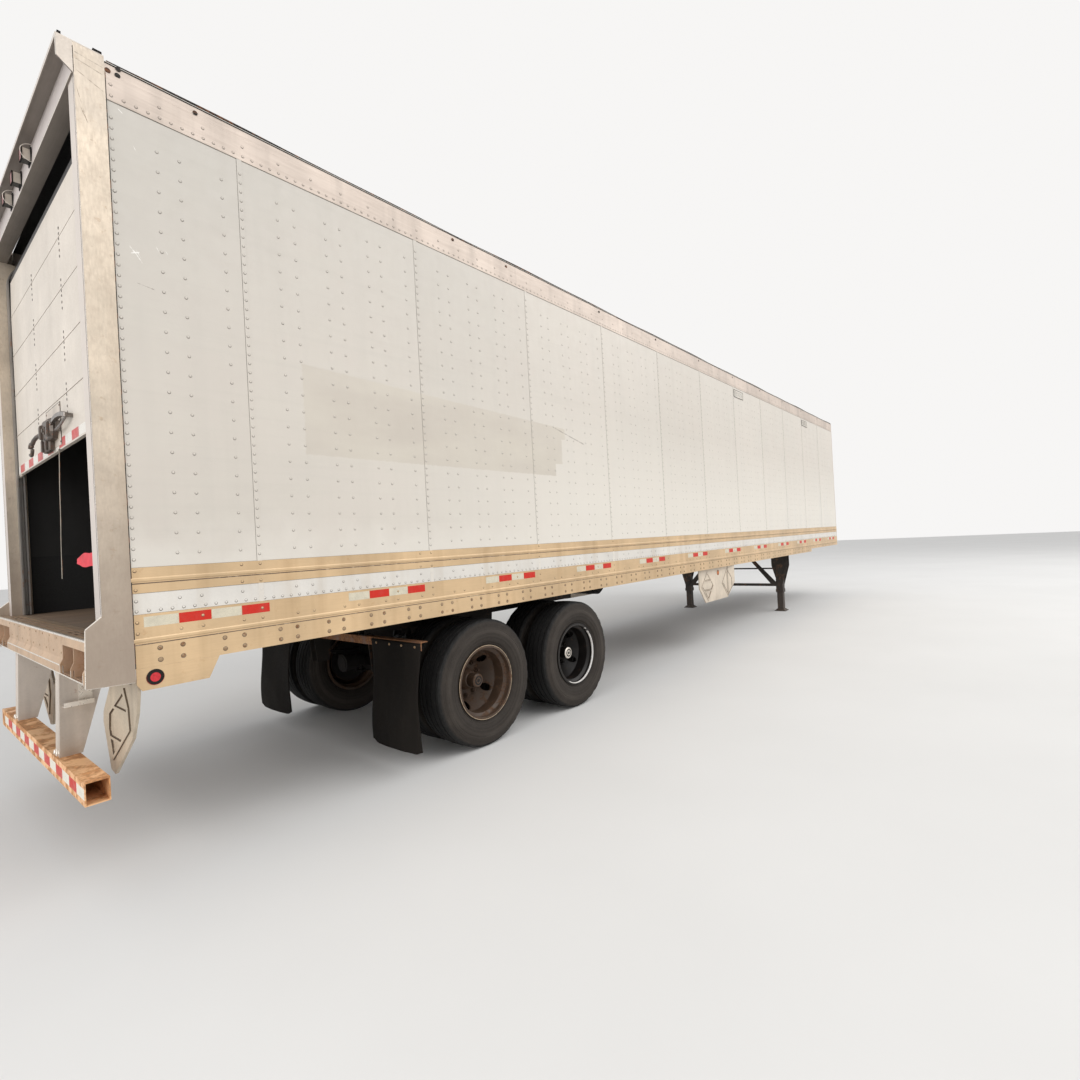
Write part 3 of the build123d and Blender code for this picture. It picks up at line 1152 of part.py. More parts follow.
# Guard brackets: a tapered plate and a rear flange, hung from the sill on each side
with BuildPart() as guard_brackets:
    bracket_top_z = sill_under_z
    top_x = rear_x + 30
    low_x = rear_x + 12
    for side in (-1, 1):
        web_y = side * guard_bracket_y
        along_y([(top_x, bracket_top_z), (low_x, guard_beam_top_z), (low_x + guard_bracket_low, guard_beam_top_z),
                 (top_x + guard_bracket_top - 40, bracket_top_z - 110), (top_x + guard_bracket_top - 50, bracket_top_z)],
                web_y, web_y + guard_bracket_plate)
        along_y([(top_x, bracket_top_z), (low_x, guard_beam_top_z), (low_x + guard_bracket_plate, guard_beam_top_z),
                 (top_x + guard_bracket_plate, bracket_top_z)], web_y, web_y + guard_bracket_flange)
keep(guard_brackets, "guard_brackets")

# Guard beam: a square tube across the rear, open at its ends
with BuildPart() as guard_beam:
    beam_low_z = guard_beam_top_z - guard_beam_height
    wall = guard_beam_wall
    block(rear_x, rear_x + guard_beam_depth, -guard_beam_half, guard_beam_half, beam_low_z, guard_beam_top_z)
    block(rear_x + wall, rear_x + guard_beam_depth - wall, -guard_beam_half - 1, guard_beam_half + 1,
          beam_low_z + wall, guard_beam_top_z - wall, mode=Mode.SUBTRACT)
keep(guard_beam, "guard_beam")

# Mud flaps on a cross angle at the rear of the bogie, each a little bowed
flap_x = sheet_rear_x + flap_plane
flap_outer_y = flap_inner_y + flap_width
with BuildPart() as flap_brackets:
    angle_x = flap_x + flap_thickness / 2 + seat_gap
    angle_top_z = bogie_bottom_z
    angle_low_z = bogie_bottom_z - flap_angle
    along_y([(angle_x, angle_low_z), (angle_x + flap_angle_wall, angle_low_z),
             (angle_x + flap_angle_wall, angle_top_z - flap_angle_wall), (angle_x + flap_angle, angle_top_z - flap_angle_wall),
             (angle_x + flap_angle, angle_top_z), (angle_x, angle_top_z)], -flap_outer_y, flap_outer_y)
keep(flap_brackets, "mud_flap_brackets")

with BuildPart() as flaps:
    flap_line = [(0, bogie_bottom_z - 8), (0, bogie_bottom_z - flap_angle), (-flap_sway * 0.7, flap_low_z + 0.72 * flap_height),
                 (-flap_sway * 0.3, flap_low_z + 0.4 * flap_height), (-flap_sway, flap_low_z)]
    half = flap_thickness / 2
    along_y([(flap_x + half + x, z) for x, z in flap_line] + [(flap_x - half + x, z) for x, z in flap_line[::-1]],
            flap_inner_y, flap_outer_y)
    mirror(about=Plane.XZ)
keep(flaps, "mud_flaps")

# Rear aero panels: kite shaped plates across each side under the sill, with raised diamond ribs
kite_x = sheet_rear_x + kite_plane
kite_outline = [(862.0, 1052.0), (637.0, 813.0), (626.0, 755.0), (740.0, 510.0), (815.0, 500.0),
                (1158.0, 751.0), (1245.0, 890.0), (1280.0, 1000.0), (1280.0, 1052.0)]
kite_cross_ribs = (873.0, 697.0)
kite_cells = ((500.0, kite_cross_ribs[1] - 7), (kite_cross_ribs[1] + 7, kite_cross_ribs[0] - 7),
              (kite_cross_ribs[0] + 7, 1000.0))
kite_diamond = [(1069.0, 998.0), (760.0, 828.0), (742.0, 732.0), (807.0, 574.0), (1140.0, 791.0), (1129.0, 906.0)]


def between_heights(points, low_z, high_z):
    """The part of a (y, z) polygon that lies between two heights."""
    for limit, keep_above in ((low_z, True), (high_z, False)):
        kept = []
        for n in range(len(points)):
            y0, z0 = points[n - 1]
            y1, z1 = points[n]
            inside0 = (z0 >= limit) == keep_above
            inside1 = (z1 >= limit) == keep_above
            if inside0 != inside1:
                kept.append((y0 + (y1 - y0) * (limit - z0) / (z1 - z0), limit))
            if inside1:
                kept.append((y1, z1))
        points = kept
    return points


with BuildPart() as rear_aero_panels:
    along_x(kite_outline, kite_x - kite_plate / 2, kite_x + kite_plate / 2)
    along_x(kite_diamond, kite_x - kite_plate / 2 - kite_rib, kite_x)
    kite_mid_y = sum(y for y, z in kite_diamond) / len(kite_diamond)
    kite_mid_z = sum(z for y, z in kite_diamond) / len(kite_diamond)
    kite_scale = 0.86
    kite_inner = [(kite_mid_y + kite_scale * (y - kite_mid_y), kite_mid_z + kite_scale * (z - kite_mid_z))
                  for y, z in kite_diamond]
    for low_z, high_z in kite_cells:
        along_x(between_heights(kite_inner, low_z, high_z), kite_x - kite_plate / 2 - kite_rib - 1,
                kite_x - kite_plate / 2, mode=Mode.SUBTRACT)
    for hanger_y in (900.0, 1140.0):
        block(kite_x - 13, kite_x - 7, hanger_y, hanger_y + 50, 1030, sill_ledge_z - sill_wall)
    mirror(about=Plane.XZ)
keep(rear_aero_panels, "rear_aero_panels")

# Red tag hooked to the inner edge of the right rear post
tag_x = post_rear_x + 12
with BuildPart() as red_tag:
    block(tag_x, tag_x + 4, -1165, -810, 1620, 1705)
    block(tag_x, tag_x + 4, -post_inner_y + seat_gap, -1150, 1690, 1790)
keep(red_tag, "red_tag")
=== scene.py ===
import math

import bpy
from mathutils import Matrix, Vector


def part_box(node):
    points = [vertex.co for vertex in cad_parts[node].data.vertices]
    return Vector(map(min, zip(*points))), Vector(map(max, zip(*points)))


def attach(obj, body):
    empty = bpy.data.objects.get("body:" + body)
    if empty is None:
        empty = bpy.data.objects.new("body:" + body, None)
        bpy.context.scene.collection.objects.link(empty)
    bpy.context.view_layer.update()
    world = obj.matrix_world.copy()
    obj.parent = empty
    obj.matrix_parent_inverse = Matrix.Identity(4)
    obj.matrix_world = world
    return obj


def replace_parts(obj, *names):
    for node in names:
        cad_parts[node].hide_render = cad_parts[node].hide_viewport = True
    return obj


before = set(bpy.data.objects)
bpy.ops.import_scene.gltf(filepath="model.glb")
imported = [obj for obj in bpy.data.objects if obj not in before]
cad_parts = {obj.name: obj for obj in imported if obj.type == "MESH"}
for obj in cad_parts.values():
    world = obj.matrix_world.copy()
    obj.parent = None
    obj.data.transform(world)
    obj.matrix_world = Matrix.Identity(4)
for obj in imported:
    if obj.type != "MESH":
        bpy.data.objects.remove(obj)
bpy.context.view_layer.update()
TRAILER = "trailer"
SIDES = ((-1, "right"), (1, "left"))

# Places, in metres. Distances along the side are from the side sheets' rear edge.
SHEET_REAR = -7.145
RAIL_Y = 1.292
SHEET_Y = 1.2895
HALF = 1.2955
FRONT = 14.43
SEAM_FIRST = 0.607
PANEL = 1.240
SEAMS = [SEAM_FIRST + PANEL * n for n in range(11)]
POST_PITCH = PANEL / 4
POST_HALF = 0.0515
AXLES = {"rear": -4.747, "front": -3.506}
AXLE_Z = 0.513
OUTER_TYRE = 1.1375
INNER_TYRE = 0.8025
MOUNT_Y = 0.970


def fx(distance):
    """X in the row frame for a distance from the side sheets' rear edge."""
    return SHEET_REAR + distance


# Node trees

class Tree:
    """A material's nodes, with short calls for the ones used most."""

    def __init__(self, name):
        self.material = bpy.data.materials.new(name)
        self.material.use_nodes = True
        self.nodes = self.material.node_tree.nodes
        self.links = self.material.node_tree.links
        self.nodes.clear()
        self.shader = self.nodes.new("ShaderNodeBsdfPrincipled")
        out = self.nodes.new("ShaderNodeOutputMaterial")
        self.links.new(self.shader.outputs[0], out.inputs[0])
        coordinates = self.nodes.new("ShaderNodeTexCoord")
        self.place = coordinates.outputs["Object"]
        self.normal = coordinates.outputs["Normal"]

    def put(self, socket, value):
        if isinstance(value, bpy.types.NodeSocket):
            self.links.new(value, socket)
        elif socket.type == "RGBA":
            socket.default_value = (*value, 1.0)
        else:
            socket.default_value = value

    def node(self, kind, inputs, **settings):
        """A node of a kind, with its settings and with a value or a link for each input."""
        made = self.nodes.new("ShaderNode" + kind)
        for key, setting in settings.items():
            setattr(made, key, setting)
        for key, value in inputs.items():
            self.put(made.inputs[key], value)
        return made

    def maths(self, operation, a, b=0.0):
        return self.node("Math", {0: a, 1: b}, operation=operation).outputs[0]

    def times(self, a, b):
        return self.maths("MULTIPLY", a, b)

    def plus(self, a, b):
        return self.maths("ADD", a, b)

    def less(self, a, b):
        return self.maths("SUBTRACT", a, b)

    def stretched(self, stretch):
        return self.node("VectorMath", {0: self.place, 1: stretch}, operation="MULTIPLY").outputs[0]

    def noise(self, scale, detail=3.0, stretch=(1, 1, 1), rough=0.55):
        inputs = {"Vector": self.stretched(stretch), "Scale": scale, "Detail": detail, "Roughness": rough}
        return self.node("TexNoise", inputs).outputs["Fac"]

    def cells(self, scale):
        """The distance to the edge of small cells."""
        inputs = {"Vector": self.stretched((1, 1, 1)), "Scale": scale}
        return self.node("TexVoronoi", inputs, feature="DISTANCE_TO_EDGE").outputs["Distance"]

    def own_value(self, number):
        """A value between 0 and 1 for each whole number."""
        return self.node("TexWhiteNoise", {"W": number}, noise_dimensions="1D").outputs["Value"]

    def span(self, value, low, high, out_low=0.0, out_high=1.0):
        inputs = {0: value, 1: low, 2: high, 3: out_low, 4: out_high}
        return self.node("MapRange", inputs, clamp=True).outputs[0]

    def cloud(self, scale, detail, low, high, out_low=0.0, out_high=1.0, stretch=(1, 1, 1), rough=0.55):
        """Noise between two of its values, brought to another span."""
        return self.span(self.noise(scale, detail, stretch, rough), low, high, out_low, out_high)

    def axis(self, index):
        return self.node("SeparateXYZ", {0: self.place}).outputs[index]

    def facing(self, index, sign):
        """The share of the surface that faces along an axis."""
        part = self.node("SeparateXYZ", {0: self.normal}).outputs[index]
        return self.span(self.times(part, sign), 0.5, 0.8)

    def between(self, value, low, high, soft):
        rise = self.span(value, low - soft, low + soft)
        fall = self.span(value, high - soft, high + soft, 1.0, 0.0)
        return self.times(rise, fall)

    def line(self, start, end):
        """A height that changes evenly along the side between two points, each (along, height)."""
        slope = (end[1] - start[1]) / (end[0] - start[0])
        return self.plus(self.times(self.axis(0), slope), start[1] - slope * start[0])

    def mix(self, fac, a, b):
        return self.node("Mix", {0: fac, 6: a, 7: b}, data_type="RGBA").outputs[2]

    def bump(self, height, strength, distance=0.001):
        made = self.node("Bump", {"Strength": strength, "Distance": distance, "Height": height})
        self.put(self.shader.inputs["Normal"], made.outputs[0])

    def surface(self, colour, rough, spec=0.5, metal=0.0):
        """Sets the surface's own values and hands over the finished material."""
        values = {"Base Color": colour, "Roughness": rough, "Specular IOR Level": spec, "Metallic": metal}
        for key, value in values.items():
            self.put(self.shader.inputs[key], value)
        return self.material


def shade(colour, factor):
    return tuple(min(1.0, c * factor) for c in colour)


RUST = (0.20, 0.075, 0.028)
GRIME = (0.10, 0.085, 0.070)


def weathered(name, base, rough=0.5, metal=0.0, tone=(0.10, 1.4), streak=None, spots=None, fine=0.06,
              grain=(90.0, (1, 1, 1)), bump=0.15, splash=None, coats=(), spec=0.5):
    """A general aged finish: broad tone, fine grain, runs down the face, spots, splash near the ground.

    tone is (amount, scale), streak (amount, colour), spots (amount, scale, edge, colour),
    grain (scale, stretch) and splash (full height, end height, amount, colour)."""
    t = Tree(name)
    tone, tone_scale = tone
    colour = t.mix(t.cloud(tone_scale, 4.0, 0.3, 0.7), shade(base, 1 - tone), shade(base, 1 + tone))
    small = t.noise(grain[0], 3.0, grain[1])
    colour = t.mix(t.span(small, 0.35, 0.7, 0.0, fine), colour, shade(base, 0.35))
    if streak:
        streak, streak_colour = streak
        runs = t.cloud(9.0, 3.0, 0.50, 0.80, 0.0, streak, (1.0, 1.0, 0.06))
        colour = t.mix(runs, colour, streak_colour)
    rough_value = t.span(small, 0.3, 0.7, max(0.05, rough - 0.08), min(1.0, rough + 0.08))
    if spots:
        spots, spot_scale, spot_edge, spot_colour = spots
        mask = t.cloud(spot_scale, 6.0, spot_edge, spot_edge + 0.08, 0.0, spots, rough=0.7)
        tint = t.mix(t.cloud(spot_scale * 5, 3.0, 0.35, 0.65), spot_colour, shade(spot_colour, 1.8))
        colour = t.mix(mask, colour, tint)
        rough_value = t.maths("MAXIMUM", rough_value, t.times(mask, 0.85))
    if splash:
        low, high, amount, tint = splash
        height = t.plus(t.axis(2), t.cloud(3.0, 4.0, 0.3, 0.7, -0.12, 0.12))
        colour = t.mix(t.span(height, low, high, amount, 0.0), colour, tint)
    for coat in coats:
        colour = coat(t, colour)
    t.bump(small, bump, 0.0006)
    return t.surface(colour, rough_value, spec, metal)


def faced(index, sign, amount, tint):
    """A coat on the faces that look along an axis."""
    return lambda t, colour: t.mix(t.times(t.facing(index, sign), amount), colour, tint)


def past(index, low, high, tint, before=False, both=False):
    """A coat past a place along an axis, or before it. With both, the place counts from the middle."""
    def coat(t, colour):
        place = t.maths("ABSOLUTE", t.axis(index)) if both else t.axis(index)
        share = t.span(place, low, high, 1.0, 0.0) if before else t.span(place, low, high)
        return t.mix(share, colour, tint)
    return coat


def slab(index, low, high, amount, tint, both=False):
    """A coat on what lies between two places along an axis, such as the flanks of a rib."""
    def coat(t, colour):
        place = t.maths("ABSOLUTE", t.axis(index)) if both else t.axis(index)
        return t.mix(t.times(t.between(place, low, high, 0.0004), amount), colour, tint)
    return coat


def blotches(scale, detail, rough, low, high, amount, tint):
    """A coat of blotches."""
    return lambda t, colour: t.mix(t.cloud(scale, detail, low, high, 0.0, amount, rough=rough), colour, tint)


def height_fade(start, end, amount, tint):
    """A coat that grows from one height to another."""
    def coat(t, colour):
        ragged = t.plus(t.axis(2), t.cloud(3.0, 5.0, 0.3, 0.7, -0.2, 0.2))
        shares = (0.0, amount) if end > start else (amount, 0.0)
        return t.mix(t.span(ragged, min(start, end), max(start, end), *shares), colour, tint)
    return coat


def scratch(start, end, width, tint):
    """A coat that is one scratch or scuff on the right side, between two (distance, height) points."""
    def coat(t, colour):
        first, last = sorted(((fx(start[0]), start[1]), (fx(end[0]), end[1])))
        off = t.maths("ABSOLUTE", t.less(t.axis(2), t.line(first, last)))
        ragged = t.plus(off, t.cloud(60.0, 4.0, 0.35, 0.65, -0.5 * width, 0.8 * width))
        near_side = t.span(t.axis(1), -1.0, -0.9, 1.0, 0.0)
        mask = t.times(t.between(t.axis(0), first[0], last[0], 0.003), near_side)
        mask = t.times(mask, t.span(ragged, 0.3 * width, width, 0.9, 0.0))
        return t.mix(mask, colour, tint)
    return coat


# Near-black painted shade for faces inside the trailer, and the place across where the side sheets' inner
# faces begin.
INSIDE_PAINTED_SHADE = (0.022, 0.021, 0.020)
INNER_FACE_Y = 1.283
PALE_SCUFF = (0.86, 0.83, 0.78)
DARK_SCUFF = (0.30, 0.26, 0.22)
# Each mark: its two ends as (distance, height), its width and its colour.
SHEET_SCUFFS = (
    ((0.070, 3.206), (0.094, 3.178), 0.0045, PALE_SCUFF),
    ((0.090, 3.184), (0.118, 3.142), 0.0040, PALE_SCUFF),
    ((0.074, 3.176), (0.108, 3.190), 0.0035, PALE_SCUFF),
    ((0.096, 3.196), (0.112, 3.168), 0.0030, PALE_SCUFF),
    ((0.186, 3.240), (0.196, 3.222), 0.0055, PALE_SCUFF),
    ((0.226, 3.238), (0.234, 3.226), 0.0040, PALE_SCUFF),
    ((0.093, 3.032), (0.166, 3.020), 0.0028, DARK_SCUFF),
    ((0.108, 3.722), (0.118, 3.700), 0.0045, PALE_SCUFF),
    ((0.050, 3.880), (0.066, 3.868), 0.0030, PALE_SCUFF),
    ((3.430, 2.700), (3.900, 2.590), 0.0060, DARK_SCUFF),
)
POST_SCRATCHES = (
    ((-0.114, 3.893), (-0.081, 3.753), 0.0050, (0.20, 0.15, 0.11)),
    ((-0.100, 3.800), (-0.078, 3.745), 0.0060, (0.24, 0.18, 0.13)),
    ((-0.115, 4.030), (-0.010, 4.012), 0.0030, (0.30, 0.25, 0.20)),
    ((-0.115, 4.060), (-0.010, 4.048), 0.0030, (0.32, 0.27, 0.22)),
    ((-0.110, 3.975), (-0.010, 3.930), 0.0030, (0.33, 0.27, 0.21)),
)
# Broad tones of the sheets: noise scale, detail, from, to, amount, stretch, roughness and colour.
SHEET_LAYERS = (
    (0.9, 5.0, 0.32, 0.68, 0.40, (1.0, 1.0, 1.0), 0.55, (0.560, 0.528, 0.470)),
    (5.5, 6.0, 0.40, 0.70, 0.30, (0.5, 1.0, 1.0), 0.65, (0.640, 0.602, 0.525)),
    (6.0, 5.0, 0.52, 0.80, 0.22, (0.12, 1.0, 5.0), 0.55, (0.500, 0.470, 0.410)),
    (7.0, 3.0, 0.50, 0.85, 0.20, (1.0, 1.0, 0.05), 0.55, (0.440, 0.420, 0.370)),
)


def graphics_mark(t, colour):
    """The darker area on the right side where large graphics were taken off. Its front edge is stepped."""
    soft = 0.004
    ragged = t.cloud(40.0, 4.0, 0.3, 0.7, -soft, soft)
    height = t.plus(t.axis(2), ragged)
    top = t.line((fx(0.939), 2.800), (fx(3.613), 2.707))
    low_in = t.span(t.less(height, 2.244), -soft, soft)
    top_in = t.span(t.less(top, height), -soft, soft)
    notch = t.times(t.span(t.axis(2), 2.36, 2.365), 0.11)
    notch = t.plus(notch, t.times(t.span(t.axis(2), 2.60, 2.605), 0.06))
    along = t.plus(t.axis(0), ragged)
    after = t.span(along, fx(0.932), fx(0.940))
    before = t.span(t.less(along, notch), fx(3.411), fx(3.419), 1.0, 0.0)
    mask = t.times(t.times(low_in, top_in), t.times(after, before))
    streaks = t.cloud(4.0, 4.0, 0.35, 0.65, stretch=(0.3, 1.0, 1.0))
    deep = t.mix(streaks, (0.545, 0.490, 0.420), (0.600, 0.548, 0.465))
    return t.mix(t.times(mask, t.cloud(3.0, 5.0, 0.30, 0.70, 0.75, 1.0)), colour, deep)


def sheet_finish(name, marks=(), front=None):
    """Painted aluminium sheets: each panel a little different, chalky at the foot, and faintly wavy."""
    t = Tree(name)
    panel = t.maths("FLOOR", t.maths("DIVIDE", t.less(t.axis(0), SHEET_REAR + SEAM_FIRST), PANEL))
    own = t.span(t.own_value(panel), 0.0, 1.0, 0.0, 0.60)
    colour = t.mix(own, (0.600, 0.546, 0.482), (0.665, 0.609, 0.541))
    for scale, detail, low, high, amount, stretch, rough, tint in SHEET_LAYERS:
        colour = t.mix(t.cloud(scale, detail, low, high, 0.0, amount, stretch, rough), colour, tint)
    chalk = t.plus(t.axis(2), t.cloud(4.0, 5.0, 0.3, 0.7, -0.10, 0.10))
    colour = t.mix(t.span(chalk, 1.62, 1.86, 0.40, 0.0), colour, (0.780, 0.740, 0.670))
    tongue = t.plus(t.axis(2), t.cloud(3.4, 5.0, 0.42, 0.62, 0.25, -0.95, (1.0, 1.0, 0.04), 0.7))
    forward_part = t.span(t.axis(0), 0.6, 3.6)
    grey_foot = t.times(t.span(tongue, 1.20, 1.50, 0.55, 0.0), forward_part)
    colour = t.mix(grey_foot, colour, (0.475, 0.465, 0.455))
    low_part = t.times(t.span(t.axis(0), fx(0.8), fx(3.8)), t.span(t.axis(2), 2.0, 3.0, 0.80, 0.0))
    colour = t.mix(low_part, colour, (0.740, 0.698, 0.625))
    shaded = t.times(t.span(t.axis(2), 2.5, 3.8), t.span(t.axis(0), fx(0.5), fx(3.5), 0.32, 0.0))
    colour = t.mix(shaded, colour, (0.430, 0.412, 0.375))
    for mark in marks:
        colour = mark(t, colour)
    specks = t.cloud(38.0, 6.0, 0.70, 0.78, 0.0, 0.35, rough=0.8)
    colour = t.mix(specks, colour, (0.34, 0.31, 0.26))
    # Faces inside the trailer are painted near black, a painted shade.
    if front:
        colour = past(0, front - 0.002, front + 0.002, INSIDE_PAINTED_SHADE, before=True)(t, colour)
    else:
        colour = past(1, INNER_FACE_Y - 0.002, INNER_FACE_Y + 0.002, INSIDE_PAINTED_SHADE, before=True, both=True)(t, colour)
    t.bump(t.noise(2.6, 2.0, (1.6, 1.0, 0.5)), 0.30, 0.02)
    return t.surface(colour, t.cloud(16.0, 3.0, 0.3, 0.7, 0.38, 0.55))


def rubber_finish(name, base, dust):
    t = Tree(name)
    small = t.noise(60.0, 4.0)
    colour = t.mix(t.span(small, 0.3, 0.7), shade(base, 0.8), shade(base, 1.25))
    colour = t.mix(t.cloud(2.2, 4.0, 0.45, 0.75, 0.0, dust, (1.0, 1.0, 0.4)), colour, (0.055, 0.046, 0.038))
    scuffs = t.cloud(26.0, 4.0, 0.66, 0.76, 0.0, 0.25, (1.0, 1.0, 0.08))
    t.bump(small, 0.25, 0.001)
    return t.surface(t.mix(scuffs, colour, (0.06, 0.052, 0.045)), t.span(small, 0.3, 0.7, 0.70, 0.90), 0.12)


def tyre_finish(name, axle_x):
    """Worn tyre: black tread, browner sidewalls with faint rings about the axle."""
    t = Tree(name)
    across = t.less(t.axis(0), axle_x)
    rise = t.less(t.axis(2), AXLE_Z)
    radius = t.maths("SQRT", t.plus(t.times(across, across), t.times(rise, rise)))
    outward = t.node("CombineXYZ", {0: radius}).outputs[0]
    rings = t.node("TexNoise", {"Vector": outward, "Scale": 46.0, "Detail": 5.0}).outputs["Fac"]
    small = t.noise(80.0, 4.0)
    wall = t.mix(t.span(rings, 0.35, 0.65), (0.024, 0.0195, 0.016), (0.044, 0.036, 0.030))
    ring = t.times(t.between(radius, 0.408, 0.436, 0.010), t.cloud(3.0, 3.0, 0.35, 0.65, 0.2, 0.8))
    wall = t.mix(ring, wall, (0.068, 0.057, 0.048))
    wall = t.mix(t.span(radius, 0.288, 0.320, 0.65, 0.0), wall, (0.018, 0.015, 0.013))
    wall = t.mix(t.cloud(9.0, 5.0, 0.45, 0.75, 0.0, 0.35), wall, (0.065, 0.054, 0.045))
    tread = t.mix(t.span(small, 0.3, 0.7), (0.008, 0.008, 0.008), (0.020, 0.019, 0.018))
    tread = t.mix(t.cloud(30.0, 4.0, 0.60, 0.72, 0.0, 0.35), tread, (0.045, 0.040, 0.034))
    t.bump(t.plus(small, rings), 0.25, 0.0012)
    colour = t.mix(t.span(radius, 0.480, 0.498), wall, tread)
    return t.surface(colour, t.span(small, 0.3, 0.7, 0.60, 0.80), 0.22)


def rust_finish(name, paint, amount=0.5, scale=9.0, dark=(0.10, 0.040, 0.018), light=(0.42, 0.19, 0.075)):
    """Old paint with rust coming through in islands that join up."""
    t = Tree(name)
    mask = t.cloud(scale, 8.0, 0.62 - 0.25 * amount, 0.70 - 0.25 * amount, rough=0.68)
    deep = t.noise(scale * 6, 5.0, rough=0.7)
    rust = t.mix(t.span(deep, 0.3, 0.7), dark, light)
    worn = t.mix(t.cloud(3.0, 4.0, 0.3, 0.7), shade(paint, 0.85), shade(paint, 1.12))
    t.bump(deep, 0.35, 0.001)
    return t.surface(t.mix(mask, worn, rust), t.span(mask, 0.0, 1.0, 0.50, 0.90))


def lip_highlight_finish():
    """Black rim lip, with a painted highlight on its lower forward part."""
    t = Tree("rim_lip_painted_highlight")
    ahead = t.times(t.less(t.axis(0), AXLES["front"]), 2.9)
    below = t.times(t.less(AXLE_Z, t.axis(2)), 2.0)
    ragged = t.plus(t.plus(ahead, below), t.cloud(22.0, 5.0, 0.3, 0.7, -0.35, 0.35))
    mask = t.span(ragged, 0.10, 0.30)
    dark = t.mix(t.cloud(30.0, 4.0, 0.3, 0.7), (0.012, 0.010, 0.009), (0.040, 0.032, 0.026))
    bright = t.mix(t.cloud(40.0, 4.0, 0.3, 0.7), (0.70, 0.66, 0.62), (0.86, 0.83, 0.79))
    t.bump(t.noise(60.0, 4.0), 0.2, 0.0006)
    return t.surface(t.mix(mask, dark, bright), t.span(mask, 0.0, 1.0, 0.60, 0.38))


def tape_finish(name, base, grime=0.35):
    """Reflecting tape: a fine honeycomb under a glossy film, with grime."""
    t = Tree(name)
    cell = t.cells(260.0)
    colour = t.mix(t.span(cell, 0.0, 0.12), shade(base, 0.75), base)
    colour = t.mix(t.cloud(14.0, 5.0, 0.48, 0.75, 0.0, grime), colour, (0.30, 0.27, 0.22))
    t.bump(cell, 0.15, 0.0004)
    return t.surface(colour, t.cloud(30.0, 3.0, 0.3, 0.7, 0.30, 0.50), 0.22)


def wood_finish():
    """Narrow floor boards that run forward, worn and oily at the doorway."""
    t = Tree("floor_boards")
    across = t.maths("DIVIDE", t.axis(1), 0.032)
    grain = t.noise(30.0, 5.0, (0.06, 1.0, 1.0))
    colour = t.mix(t.span(grain, 0.3, 0.7), (0.16, 0.10, 0.060), (0.34, 0.23, 0.15))
    own = t.span(t.own_value(t.maths("FLOOR", across)), 0.0, 1.0, 0.0, 0.5)
    colour = t.mix(own, colour, (0.12, 0.085, 0.060))
    seam = t.span(t.maths("FRACT", across), 0.0, 0.07)
    colour = t.mix(seam, (0.03, 0.022, 0.016), colour)
    colour = t.mix(t.cloud(2.2, 5.0, 0.45, 0.7, 0.0, 0.6), colour, (0.14, 0.12, 0.10))
    t.bump(t.plus(seam, grain), 0.3, 0.001)
    return t.surface(colour, t.span(grain, 0.3, 0.7, 0.55, 0.80))


GOLD_STREAK = (0.34, 0.20, 0.09)
KITE_FACE = fx(0.015 - 0.007)
FAIRING_FACE = 1.236
DOOR_REAR = SHEET_REAR - 0.050
# Dark colour on the flanks of raised ribs: dirt and painted shade.
RIB_DIRT_AND_SHADE = (0.10, 0.070, 0.045)
DOOR_STRAIGHT_TOP = 3.785
TOP_RAIL_EDGE_Z = 4.082
TINT_EDGE = 0.002

